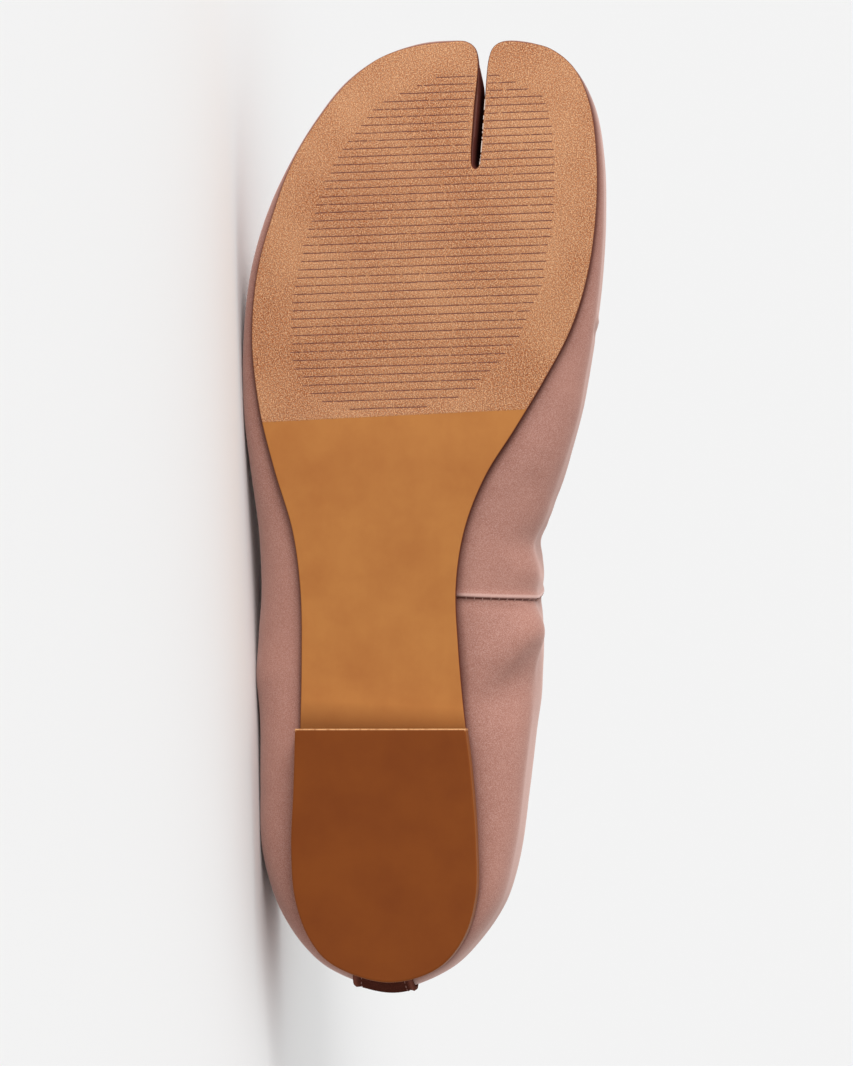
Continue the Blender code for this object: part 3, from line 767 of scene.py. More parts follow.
print("upper")
upper = {
    "finer": 6,  # sections for each column of the plain form
    "lower": 12,  # steps round the lower curve, up the straight stretch and over the upper curve
    "straight": 4,
    "upper": 34,
    "skin": 1.0,  # satin with its stiffener, outside the lining
    "foldSteps": 6,
    "hiddenSteps": (4, 1, 8),  # of the inner face, which the lining hides
    "innerTopSteps": (2, 1, 2),
    "seamStretch": (45.55, 47.0, 150),  # sole edge rows that the side seam crosses
    "throatX": 175.0,  # in front of this the topline's fold points back, elsewhere up
    "tuckWidth": 1.4,  # how far the painted shade on the satin reaches beside the sole's edge
    "shadeLineWidth": 0.5,  # half width of the painted dark shadow line right at the edge
    "shadeLineShare": 0.4,
    # height over the sole up to which the painted shade fades out
    "tuckHeight": 9.0,
    "middle": (0.0, 2.0, 22.0),  # of a section; the wall's outward direction starts there
}

# creases of the satin: a line of points on the wall, half width, height (a trough is below 0)
creases = [
    # the fold behind the side seam and the hollow after it
    (((88.5, 24.5, 9.0), (92.8, 28.0, 10.0), (97.0, 31.5, 11.2), (99.0, 34.6, 13.6), (99.6, 37.1, 20.1)),
     5.4, 3.2),
    (((75.5, 26.5, 9.4), (80.5, 30.0, 11.0), (84.5, 34.0, 13.5), (87.5, 37.0, 19.0)), 6.2, -2.2),
    # the front panel swells before the seam and dips in front of that
    (((115.5, 30.0, 9.0), (114.5, 34.5, 16.0), (114.5, 36.0, 27.0), (115.0, 35.5, 38.0)), 4.6, 1.5),
    (((123.6, 36.0, 19.0), (124.0, 36.8, 30.0), (124.2, 35.8, 40.0), (124.2, 34.5, 50.0)), 3.4, -1.4),
    (((122.0, 27.0, 7.0), (123.0, 33.5, 12.0), (123.6, 36.4, 22.0)), 4.2, -0.6),
    (((139.0, 35.0, 12.0), (139.0, 39.5, 24.0), (139.0, 39.0, 34.0)), 6.0, 0.5),
    (((82.0, 37.5, 22.0), (82.0, 37.5, 34.0), (82.0, 36.0, 44.0)), 6.0, 0.4),
    (((125.9, 23.7, 4.9), (131.0, 29.0, 5.6), (136.5, 33.2, 5.7), (139.0, 36.0, 9.0)), 4.2, -0.6),
    (((134.0, 24.0, 3.8), (141.0, 26.3, 3.2), (147.0, 31.0, 4.0), (151.0, 38.0, 8.0)), 4.6, 0.5),
    # a small pinched pleat beside the ball, with shallow folds running from it
    (((184.0, 46.5, 6.5), (182.3, 48.8, 11.0), (181.5, 48.0, 17.0)), 1.1, 0.5),
    (((181.5, 46.0, 6.0), (179.4, 48.3, 11.0), (178.8, 47.5, 17.0)), 1.3, -0.45),
    (((176.0, 40.5, 3.2), (170.0, 43.0, 6.5), (165.0, 44.5, 11.0)), 3.6, -0.35),
    (((166.0, 36.0, 3.4), (160.0, 40.0, 6.5), (155.0, 43.0, 12.0)), 4.2, 0.35),
    # outer side: a long gentle wave at the waist
    (((94.0, -27.0, 8.0), (92.0, -34.0, 12.0), (90.0, -37.5, 22.0)), 5.0, -0.35),
    (((84.0, -26.0, 8.5), (83.0, -33.5, 12.5), (82.0, -37.0, 22.0)), 4.5, 0.4),
]
creaseShape = {
    "pathSteps": 14,
    "reach": 3.0,  # in half widths
    "endShare": 0.35,  # of its height that a crease keeps at its ends
    "swell": 0.7,  # below 1 a crease is full over more of its length
}


def nearestOnPath(points, path):
    # distance of each point to a path, and how far along the path it is
    stops = np.linspace(0, len(path) - 1, creaseShape["pathSteps"] * (len(path) - 1) + 1)
    rows = spline(np.asarray(path, float), stops, False)
    best = np.full(len(points), np.inf)
    share = np.zeros(len(points))
    for k, (a, b) in enumerate(zip(rows[:-1], rows[1:])):
        ab = b - a
        t = np.clip((points - a) @ ab / max(ab @ ab, 1e-9), 0, 1)
        d = np.linalg.norm(points - (a + t[:, None] * ab), axis=1)
        closer = d < best
        best = np.where(closer, d, best)
        share = np.where(closer, (k + t) / (len(rows) - 1), share)
    return best, share


def creaseHeight(points):
    total = np.zeros(len(points))
    endShare = creaseShape["endShare"]
    for path, halfWidth, height in creases:
        reach = creaseShape["reach"] * halfWidth
        low, high = np.min(path, axis=0) - reach, np.max(path, axis=0) + reach
        near = np.all((points > low) & (points < high), axis=1)
        distance, share = nearestOnPath(points[near], path)
        swell = np.sin(np.pi * np.clip(share, 0.0, 1.0)) ** creaseShape["swell"]
        total[near] += height * (endShare + (1 - endShare) * swell) * bell(distance / halfWidth)
    return total


sideSeam = {
    "path": ((107.0, 16.0, 5.5), (107.2, 24.0, 7.0), (107.6, 32.0, 12.0), (108.0, 36.0, 22.0),
             (109.6, 36.4, 36.0), (110.5, 35.6, 43.5)),
    "lip": 0.6,  # height of the folded edge of the front panel
    "lipFrom": -0.1,  # places are ahead of the path, so this is just behind it
    "lipRise": 0.25,
    "lipFlat": 0.5,
    "lipWidth": 1.2,
    "panelShare": 0.35,  # of the lip's height that the panel starts with
    "panelWidth": 9.0,
    "groove": 0.55,  # depth of the gap behind it
    "grooveWidth": 0.2,
    "grooveAt": -0.3,
    "dip": 0.3,  # the rear panel sinks towards the gap
    "dipWidth": 2.2,
    "dipAt": -1.8,
    "dipFrom": 0.5,
    "puckerDepth": 0.12,
    "puckerPitch": 2.25,
    "puckerWidth": 1.0,
    "puckerAt": -1.3,
    "reach": 30.0,
    "startY": 8.0,  # the inner side starts here
    "startBlend": 5.0,
    # where the lip's painted highlight and the groove's painted shade lie
    "lipHighlightPaint": (0.0, 0.15, 1.25, 0.5),  # start, soft start, end, soft end
    "grooveShadePaint": (-0.55, 0.15, -0.03, 0.12),
}


def seamOffset(points):
    # signed distance in front of the side seam, for points of the inner side
    path = np.array(sideSeam["path"])
    return points[:, 0] - np.interp(points[:, 2], path[:, 2], path[:, 0])


def seamHeight(points):
    s = seamOffset(points)
    _, startY, startZ = sideSeam["path"][0]
    share = sideSeam["panelShare"]
    risen = smooth((s - sideSeam["lipFrom"]) / sideSeam["lipRise"])
    crest = bell(np.maximum(s - sideSeam["lipFlat"], 0) / sideSeam["lipWidth"])
    panel = np.exp(-np.maximum(s, 0.0) / sideSeam["panelWidth"]) * risen
    total = sideSeam["lip"] * risen * (share + (1 - share) * crest) * panel
    total -= sideSeam["groove"] * bell((s - sideSeam["grooveAt"]) / sideSeam["grooveWidth"])
    dip = bell((s - sideSeam["dipAt"]) / sideSeam["dipWidth"]) * smooth(sideSeam["dipFrom"] - s)
    total -= sideSeam["dip"] * dip
    around = np.hypot(points[:, 1] - startY, points[:, 2] - startZ)
    pucker = np.cos(2 * np.pi * around / sideSeam["puckerPitch"])
    pucker *= bell((s - sideSeam["puckerAt"]) / sideSeam["puckerWidth"]) * (s < 0)
    total -= sideSeam["puckerDepth"] * pucker
    total *= smooth((points[:, 1] - sideSeam["startY"]) / sideSeam["startBlend"])
    return np.where(np.abs(s) < sideSeam["reach"], total, 0.0)


def seamPaint(points):
    # share of painted highlight on the folded lip, and of painted shade in the groove, at each spot
    s = seamOffset(points)
    inner = points[:, 1] > sideSeam["startY"]
    return band(s, *sideSeam["lipHighlightPaint"]) * inner, band(s, *sideSeam["grooveShadePaint"]) * inner


def foldDirections(cols, outer, inner):
    # fold direction at each collar section, the same for both sections that meet at the throat
    flags = cols["collar"]
    count = len(flags)
    firstRun = np.nonzero(~flags)[0][0]
    lastRun = count - np.nonzero(~flags[::-1])[0][0]
    ids = list(range(firstRun)) + list(range(lastRun, count))
    tops, normals = outer[ids], unit(outer[ids] - inner[ids])
    along = unit(np.roll(tops, -1, 0) - np.roll(tops, 1, 0))
    fold = unit(np.cross(along, normals))
    back, up = -np.sign(fold[:, :1]), np.sign(fold[:, 2:3] + 1e-3)
    fold *= np.where(tops[:, :1] > upper["throatX"], back, up)
    made = np.zeros((count, 3))
    made[ids] = fold
    made[firstRun] = made[lastRun]
    return made


def foldRows(cols, outer, inner):
    # half round rows over the topline, from the outer to the inner face
    fold = foldDirections(cols, outer, inner)
    middle, half = (outer + inner) / 2, (outer - inner) / 2
    radius = np.linalg.norm(half, axis=1, keepdims=True)
    turns = [math.pi * k / upper["foldSteps"] for k in range(1, upper["foldSteps"])]
    rows = [middle + half * math.cos(turned) + fold * radius * math.sin(turned) for turned in turns]
    return np.array(rows + [inner])


def paintedEdgeShade(cols, outer):
    # share of painted shade on the satin beside the sole's edge: a dark line right at the edge and a
    # wider fade
    beyond = np.einsum("rcj,cj->rc", outer[:, :, :2] - cols["foot"], cols["out"])
    beyond = np.maximum(beyond, 0.0)
    above = outer[:, :, 2] - soleTop(cols["foot"][:, 0])
    fade = smooth((upper["tuckHeight"] - above) / upper["tuckHeight"])
    near = upper["shadeLineShare"] * bell(beyond / upper["shadeLineWidth"])
    wide = (1 - upper["shadeLineShare"]) * np.exp(-beyond / upper["tuckWidth"])
    return (near + wide) * fade


def makeUpper():
    cols = makeColumns(upper["finer"], [upper["seamStretch"]])
    count = len(cols["foot"])
    outer = wallRows(cols, 0.0, upper["lower"], upper["straight"], upper["upper"])
    innerTop = wallRows(cols, -shoe["wall"], *upper["innerTopSteps"])[-1]
    hidden = wallRows(cols, -upper["skin"], *upper["hiddenSteps"])[::-1]
    folds = foldRows(cols, outer[-1], innerTop)
    rows = np.concatenate([outer, folds, hidden])
    ids = np.arange(len(rows) * count).reshape(-1, count)
    foldEnd = len(outer) + len(folds)
    faces = [
        gridFaces(ids[:len(outer)]),
        gridFaces(ids[foldEnd:]),
        gridFaces([ids[-1], ids[0]]),
        gridFaces(ids[len(outer) - 1:foldEnd + 1], cols["collar"]),
    ]
    around = np.broadcast_to(walked(cols["foot"]), rows.shape[:2])
    uv = np.stack((around.ravel() * mm, walked(rows).ravel() * mm), 1)
    # painted shade beside the sole's edge, on the outer face
    tuck = np.zeros(rows.shape[:2])
    tuck[:len(outer)] = paintedEdgeShade(cols, outer)
    obj = meshObject("upper_satin", rows.reshape(-1, 3), np.concatenate(faces), looks["satin"],
                     uv=uv, uvName="satinUv", tuck=tuck.ravel())
    shapeSatin(obj)
    return obj


slit = {
    "rootX": 218.0,
    "rootBlend": 1.5,
    "tipGap": 2.5,  # the dark walls end this far behind the toe tips
    "tipBlend": 7.0,
    "middleY": 15.0,
    "halfWidth": 2.1,
    "sideBlend": 0.5,
    "steepest": 0.75,  # upright share of the normal that still counts as a wall
    "steepBlend": 0.25,
    "depth": 10.0,  # how high the painted shade reaches over the sole at the mouth
    "depthX": 250.0,
    "depthSlope": 0.35,
    "depthBlend": 4.0,
    "faceShare": 0.5,  # from this a face gets the satin without sheen
}
# the outer lobe falls back at the slit's mouth
mouth = {"startX": 241.0, "length": 9.5, "innerY": 9.0, "blend": 3.5, "rise": 4.0, "fall": 1.5}


def wallAway(points):
    # outward direction from the middle of the shoe's section
    away = points * (0, 1, 1) - upper["middle"]
    return away / np.maximum(np.linalg.norm(away, axis=1, keepdims=True), 1.0)


def creaseWall(points):
    # the whole thickness of the wall follows the creases and the fall at the mouth
    moved = points + wallAway(points) * creaseHeight(points)[:, None]
    x, y, z = points.T
    share = smooth((x - mouth["startX"]) / mouth["length"])
    share = share * smooth((y - mouth["innerY"]) / mouth["blend"]) * (y < slit["middleY"])
    share = share * smooth((z - soleTop(x)) / mouth["rise"])
    moved[:, 1] -= mouth["fall"] * share
    return moved


def slitWalls(points, normals):
    # the steep walls of the slit between the toes, and the painted shade in their depth
    x, y, z = points.T
    walls = band(x, slit["rootX"], slit["rootBlend"], shoe["toeX"] - slit["tipGap"], slit["tipBlend"])
    walls = walls * smooth((slit["halfWidth"] - np.abs(y - slit["middleY"])) / slit["sideBlend"])
    walls = walls * smooth((slit["steepest"] - np.abs(normals[:, 2])) / slit["steepBlend"])
    deep = slit["depth"] + slit["depthSlope"] * (slit["depthX"] - x) - (z - soleTop(x))
    return walls, walls * smooth(deep / slit["depthBlend"])


def shapeSatin(obj):
    # creases the wall, then moves its outer skin along its normals at the side seam
    points = meshPoints(obj)
    away = wallAway(points)
    moved = creaseWall(points)
    moveTo(obj, moved)
    normals = np.empty(len(points) * 3)
    obj.data.vertex_normals.foreach_get("vector", normals)
    normals = normals.reshape(-1, 3) @ np.array(shoeTurn)
    outwards = np.einsum("ij,ij->i", normals, away) > 0
    moveTo(obj, moved + normals * (seamHeight(points) * outwards)[:, None])
    # painted highlight on the seam's lip, painted shade in its groove and deep in the slit
    lip, groove = seamPaint(points)
    walls, dark = slitWalls(points, normals)
    paint(obj.data, lip=lip * outwards, groove=groove * outwards, slit=dark)
    # the slit's faces get the sheenless satin that carries the painted shade
    obj.data.materials.append(looks["slitSatin"])
    for face in obj.data.polygons:
        face.material_index = int(walls[list(face.vertices)].min() > slit["faceShare"])
    obj.data.update()


upperSatin = makeUpper()
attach(upperSatin, "root")
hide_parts("upper")


print("lining")
lining = {"finer": 3, "lower": 6, "straight": 2, "upper": 18, "gap": 0.05, "topGap": 0.02}


def makeLiningShell():
    cols = makeColumns(lining["finer"])
    collar, steps = cols["collar"], (lining["lower"], lining["straight"], lining["upper"])
    visible = wallRows(cols, -shoe["wall"], *steps)
    hidden = wallRows(cols, -upper["skin"] - lining["gap"], *steps)
    for rows in (visible, hidden):
        rows[-1][collar] = mixed(rows[-1][collar], rows[-2][collar], lining["topGap"] * lining["upper"])
    points = np.concatenate([visible, hidden[::-1]])
    ids = np.arange(points.size // 3).reshape(-1, len(collar))
    a, b = ids[:len(visible)], ids[len(visible):]
    faces = [gridFaces(a), gridFaces(b), gridFaces([b[-1], a[0]]), gridFaces([a[-1], b[0]], collar)]
    points = creaseWall(points.reshape(-1, 3))
    return meshObject("upper_lining", points, np.concatenate(faces), looks["lining"])


liningShell = makeLiningShell()
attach(liningShell, "root")


print("sole")
sole = {
    "outlineSteps": 10,
    "edgeRound": 0.4,
    "roundSteps": 4,
    "sideShares": (0.5,),  # heights of more rings up the side
    "topEdge": ((0.0, 0.3), (0.1, 0.08), (0.3, 0.0)),  # insets and depths under the top
    "crisp": 0.25,  # width of the flat band that keeps the rounding off the face
    "fieldX": (6.0, 256.0),
    "fieldY": (-42.0, 49.0),
    "fieldStep": 1.3,  # spacing of the face's points along a tread line
    "plainSteps": (2.2, 2.6),
    "fieldMargins": (1.5, 2.2),  # of the fine points round the tread lines, and of the plain ones
    "clearance": 0.5,
    "lineCount": 42,
    "linePitch": 2.149,
    "firstLine": 244.3,
    "lineBow": 1.05,  # the pitch narrows towards the toe, so the middle lines stand this much forward
    "lineSlant": 0.0838,  # the lines lean towards the toe on the inner side
    "lineHalfWidth": 0.16,
    "lineDepth": 0.07,
    "lineFade": 0.6,
    "rimFrom": 0.03,  # the dark rim starts this high on the side
    "rimBlend": 0.12,
}
# the field of tread lines from the toe back: place along the shoe, y of both ends
treadField = np.array([
    (245.4, 6.0, 15.0),
    (243.7, 1.3, 22.0),
    (237.5, -12.3, 32.3),
    (228.9, -18.3, 34.8),
    (220.4, -23.0, 36.1),
    (209.7, -26.8, 36.6),
    (199.1, -29.4, 36.2),
    (188.3, -31.1, 34.7),
    (183.8, -31.7, 33.3),
    (175.1, -31.4, 29.9),
    (168.5, -30.3, 25.7),
    (164.3, -28.7, 20.9),
    (160.1, -24.5, 18.0),
    (158.0, -21.2, 13.3),
    (155.9, -14.1, 5.0),
])


def outlineAt(inset, steps):
    foot, out, *_ = edgeAt(np.arange(len(edgeRows) * steps) / steps)
    return foot - out * inset


def insideOf(points, ring):
    # a point is inside when a line from it crosses the ring an odd number of times
    a, b = ring, np.roll(ring, -1, 0)
    x, y = points[:, 0:1], points[:, 1:2]
    crosses = (a[:, 1] > y) != (b[:, 1] > y)
    with np.errstate(divide="ignore", invalid="ignore"):
        at = a[:, 0] + (y - a[:, 1]) * (b[:, 0] - a[:, 0]) / (b[:, 1] - a[:, 1])
    return (np.sum(crosses & (x < at), axis=1) % 2) == 1


def farFrom(points, ring, least, chunk=4000):
    # points that keep their distance from the ring, looked at a chunk at a time
    a, b = ring, np.roll(ring, -1, 0)
    ab = b - a
    keep = np.ones(len(points), bool)
    for start in range(0, len(points), chunk):
        p = points[start:start + chunk]
        t = np.einsum("pkc,kc->pk", p[:, None] - a, ab) / np.maximum((ab * ab).sum(1), 1e-9)
        t = np.clip(t, 0, 1)
        d = np.linalg.norm(p[:, None] - (a + t[..., None] * ab), axis=2).min(1)
        keep[start:start + chunk] = d > least
    return keep


def filledOutline(ring, field, clearance):
    # a flat face of triangles between the ring and the field points inside it
    field = field[insideOf(field, ring)]
    field = field[farFrom(field, ring, clearance)]
    points = [Vector(p) for p in ring] + [Vector(p) for p in field]
    loop = list(range(len(ring)))
    insideOnly = 1  # the way that the loop is filled
    verts, _, faces, *_ = delaunay_2d_cdt(points, [], [loop], insideOnly, 1e-6)
    return np.array([tuple(v) for v in verts]), faces


def gridOf(xs, ys):
    return np.stack(np.meshgrid(xs, ys, indexing="ij"), -1).reshape(-1, 2)


def edgeLevels(piece, height):
    # inset and height of each ring round a piece: rounded below, nearly crisp above
    r, steps = piece["edgeRound"], piece["roundSteps"]
    turns = [quarterTurn * k / steps for k in range(steps + 1)]
    levels = [(r * (1 - math.sin(turned)), r * (1 - math.cos(turned))) for turned in turns]
    levels += [(0.0, height * share) for share in piece["sideShares"]]
    return levels + [(inset, height - depth) for inset, depth in piece["topEdge"]]


def bentRings(levels, inset, steps, lift):
    # rings of points that follow the bend of the sole
    rings = []
    for step, z in levels:
        at = outlineAt(inset + step, steps)
        rings.append(np.column_stack((at, soleUnderside(at[:, 0]) + lift + z)))
    return rings


def closedSheet(face, faces, count, floor, ceiling, rings):
    # one solid from a filled face, its copy above and the rings of points round its edge
    points = np.concatenate([np.column_stack((face, floor)), np.column_stack((face, ceiling))] + rings)
    top = len(face)
    ids = [np.arange(count)] + [2 * top + k * count + np.arange(count) for k in range(len(rings))]
    ids.append(top + np.arange(count))
    made = [tuple(f[::-1]) for f in faces] + [tuple(i + top for i in f) for f in faces]
    return points, made + [tuple(q) for q in gridFaces(ids)]


def treadEnds(place):
    rows = treadField[::-1]
    return np.interp(place, rows[:, 0], rows[:, 1]), np.interp(place, rows[:, 0], rows[:, 2])


def treadPlaces():
    k = np.arange(sole["lineCount"])
    half = (sole["lineCount"] - 1) / 2
    return sole["firstLine"] - sole["linePitch"] * k + sole["lineBow"] * (1 - ((k - half) / half) ** 2)


def lineTrough(points):
    # depth of the pressed tread lines at points of the sole's face
    y = points[:, 1]
    place = points[:, 0] - sole["lineSlant"] * y
    lines = treadPlaces()
    at = lines[np.argmin(np.abs(place[:, None] - lines), axis=1)]
    low, high = treadEnds(at)
    fade = sole["lineFade"]
    ends = band(y, low - fade / 2, fade, high + fade / 2, fade)
    return sole["lineDepth"] * np.maximum(1 - np.abs(place - at) / (2 * sole["lineHalfWidth"]), 0) * ends


def slantedGrid(places, ys):
    grid = gridOf(places, ys)
    grid[:, 0] += sole["lineSlant"] * grid[:, 1]
    return grid


def withinTread(points, slack):
    place = points[:, 0] - sole["lineSlant"] * points[:, 1]
    low, high = treadEnds(place)
    first, last = treadPlaces()[[0, -1]]
    along = (place < first + slack) & (place > last - slack)
    return along & (points[:, 1] > low - slack) & (points[:, 1] < high + slack)


def soleField():
    # points of the sole's face: three rows along each tread line, and a plain grid elsewhere
    beside = 2 * sole["lineHalfWidth"]
    places = np.concatenate([[p - beside, p, p + beside] for p in treadPlaces()])
    lines = slantedGrid(places, np.arange(*sole["fieldY"], sole["fieldStep"]))
    alongStep, acrossStep = sole["plainSteps"]
    plain = slantedGrid(np.arange(*sole["fieldX"], alongStep), np.arange(*sole["fieldY"], acrossStep))
    fine, coarse = sole["fieldMargins"]
    return np.concatenate([lines[withinTread(lines, fine)], plain[~withinTread(plain, coarse)]])


def makeSole():
    steps = sole["outlineSteps"]
    ring = outlineAt(sole["edgeRound"] + sole["crisp"], steps)
    face, faces = filledOutline(ring, soleField(), sole["clearance"])
    rings = bentRings(edgeLevels(sole, shoe["soleThickness"]), 0.0, steps, 0.0)
    floor = soleUnderside(face[:, 0]) + lineTrough(face)
    points, faces = closedSheet(face, faces, len(ring), floor, soleTop(face[:, 0]), rings)
    uv = points[:, :2] * mm
    obj = meshObject("outsole_leather", points, faces, looks["sole"], uv=uv, uvName="soleUv")
    points = meshPoints(obj)
    rise = points[:, 2] - soleUnderside(points[:, 0])
    paint(obj.data, edge=smooth((rise - sole["rimFrom"]) / sole["rimBlend"]))
    return obj


outsole = makeSole()
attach(outsole, "root")
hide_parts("outsole")


print("heel")
heel = {
    "outlineSteps": 12,
    "edgeRound": 0.45,
    "roundSteps": 4,
    "sideShares": (0.35, 0.7),
    "topEdge": ((0.0, 0.25), (0.08, 0.06), (0.3, 0.0)),
    "crisp": 0.3,
    "curvePoints": 260,
    "frontPoints": 60,
    "fieldX": (4.0, 76.0),
    "fieldY": (-27.0, 30.0),
    "fieldStep": 3.0,
    "clearance": 1.0,
    "rawWidth": 0.44,  # the painted highlight along the breast's edge
    "rawBlend": 0.15,
    "rimFrom": 0.02,
    "rimBlend": 0.2,
}


def heelOutline(inset):
    # D shape: the sole's edge round the back, and the straight breast
    ring = outlineAt(inset - shoe["heelProud"], heel["outlineSteps"])
    lean = math.tan(shoe["breastSlant"])
    frontX = shoe["breastX"] - inset

    def pastFront(p):
        return p[..., 0] - frontX - p[..., 1] * lean

    behind = pastFront(ring) < 0
    first = np.nonzero(~behind)[0][0]
    last = len(ring) - np.nonzero(~behind[::-1])[0][0]
    sides = np.concatenate([ring[last:], ring[:first]])
    ends = []
    for here, there in ((sides[0], ring[last - 1]), (sides[-1], ring[first])):
        share = pastFront(here) / (pastFront(here) - pastFront(there))
        ends.append(here + (there - here) * share)
    sides = np.concatenate([ends[:1], sides, ends[1:]])
    way = walked(sides)
    even = np.linspace(0, way[-1], heel["curvePoints"])
    curve = np.column_stack([np.interp(even, way, sides[:, k]) for k in (0, 1)])
    ys = np.linspace(ends[1][1], ends[0][1], heel["frontPoints"] + 2)[1:-1]
    return np.concatenate([curve, np.column_stack((frontX + ys * lean, ys))])


def makeHeel():
    height = shoe["heelHeight"]
    ring = heelOutline(heel["edgeRound"] + heel["crisp"])
    field = gridOf(*[np.arange(*heel[reach], heel["fieldStep"]) for reach in ("fieldX", "fieldY")])
    face, faces = filledOutline(ring, field, heel["clearance"])
    levels = edgeLevels(heel, height)
    rings = [np.column_stack((heelOutline(step), np.full(len(ring), z))) for step, z in levels]
    points, faces = closedSheet(face, faces, len(ring), 0 * face[:, 0], np.full(len(face), height), rings)
    obj = meshObject("heel_block", points, faces, looks["heel"])
    x, y, z = meshPoints(obj).T
    front = shoe["breastX"] + y * math.tan(shoe["breastSlant"])
    # painted highlight along the breast's edge
    raw = smooth((x - front + heel["rawWidth"]) / heel["rawBlend"])
    paint(obj.data, raw=raw, edge=smooth((z - heel["rimFrom"]) / heel["rimBlend"]))
    return obj


heelBlock = makeHeel()
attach(heelBlock, "root")
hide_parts("heel")


print("insole")
sock = {
    "outlineSteps": 6,
    "inset": 3.3,
    "edgeRound": 0.8,
    "roundSteps": 3,
    "roundShare": 0.98,
    "lowEdge": ((0.1, 0.0), (0.0, 0.2)),  # insets and heights
    "fieldX": (6.0, 255.0),
    "fieldY": (-42.0, 49.0),
    "fieldStep": 3.0,
    "clearance": 1.0,
}


def makeInsole():
    steps, r, thickness = sock["outlineSteps"], sock["edgeRound"], shoe["insoleThickness"]
    under = shoe["fitGap"] + shoe["soleThickness"]
    ring = outlineAt(sock["inset"] + r, steps)
    field = gridOf(*[np.arange(*sock[reach], sock["fieldStep"]) for reach in ("fieldX", "fieldY")])
    face, faces = filledOutline(ring, field, sock["clearance"])
    levels = list(sock["lowEdge"])
    for k in range(sock["roundSteps"] + 1):
        turned = quarterTurn * k / sock["roundSteps"]
        inset = r * (1 - math.cos(turned)) * sock["roundShare"]
        levels.append((inset, thickness - r + r * math.sin(turned) * sock["roundShare"]))
    rings = bentRings(levels, sock["inset"], steps, under)
    floor = soleUnderside(face[:, 0]) + under
    points, faces = closedSheet(face, faces, len(ring), floor, floor + thickness, rings)
    return meshObject("insole_sock", points, faces, looks["lining"])


insole = makeInsole()
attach(insole, "root")
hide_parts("insole")


print("back strip")
strip = {
    "width": 18.6,
    "taper": 0.4,
    "thickness": 0.8,
    "centre": 0.11,  # rows of the sole's edge past the back of the heel, towards the outer side
    "startShare": 0.13,  # the strip starts this far round the lower curve of the wall
    "topGap": 0.04,
    "columns": 48,
    "lower": 24,
    "straight": 4,
    "upper": 26,
    "foldWidth": 1.4,  # of the turned-in edges, which stand higher
    "foldHeight": 0.4,
    "foldAt": 0.5,  # places and widths across the strip, in fold widths
    "foldSpread": 0.42,
    "valley": 0.12,
    "valleyAt": 1.5,
    "valleySpread": 0.5,  # in millimetres
    "edgeShare": 0.8,  # of the thickness that the very edge comes down
    "edgeSpread": 0.25,
    # where the painted highlight on the folded edges is strongest
    "foldHighlightAt": 0.6,
    "stitchInset": 2.6,
    "stitchMargin": 2,  # rows without stitches at both ends
}


def stripReach():
    # half the strip's width, in rows of the sole's edge
    u = np.linspace(0, 3, 3001)  # fine steps over the first three rows
    foot, out, overhang, *_ = edgeAt(u)
    return float(np.interp(strip["width"] / 2, walked(foot + out * overhang[:, None]), u))


def stripSections(us):
    # sections on both sides of the back of the heel; the ends are those of the first and last run
    ends = {
        "outerTop": edgeIndex["ball_front_outer"],
        "innerTop": len(edgeRows) - edgeIndex["joint_mid_inner"],
    }
    parts = []
    for u in us:
        ridge = "outerTop" if u >= 0 else "innerTop"
        parts.append(sectionsAt([u], ridge, [abs(u) / ends[ridge]]))
    return joined(parts)


def stripRows(sections, grow):
    rows = wallRows(sections, grow, strip["lower"], strip["straight"], strip["upper"])
    rows = rows[1 + round(strip["startShare"] * strip["lower"]):]
    rows[-1] = mixed(rows[-2], rows[-1], 1 - strip["topGap"] * strip["upper"])
    return rows


def stripSkin(wideSections, narrowSections, grows):
    # the strip's rows narrow towards the top, and each column stands out by its own amount
    skin = stripRows(wideSections, 0.0)
    grows = np.round(grows, 6)
    for grow in np.unique(grows):
        pick = grows == grow
        wide, narrow = (stripRows(sections, grow)[:, pick] for sections in (wideSections, narrowSections))
        high = (wide[..., 2] - wide[0, :, 2]) / (wide[-1, :, 2] - wide[0, :, 2])
        skin[:, pick] = mixed(wide, narrow, high[..., None])
    return skin


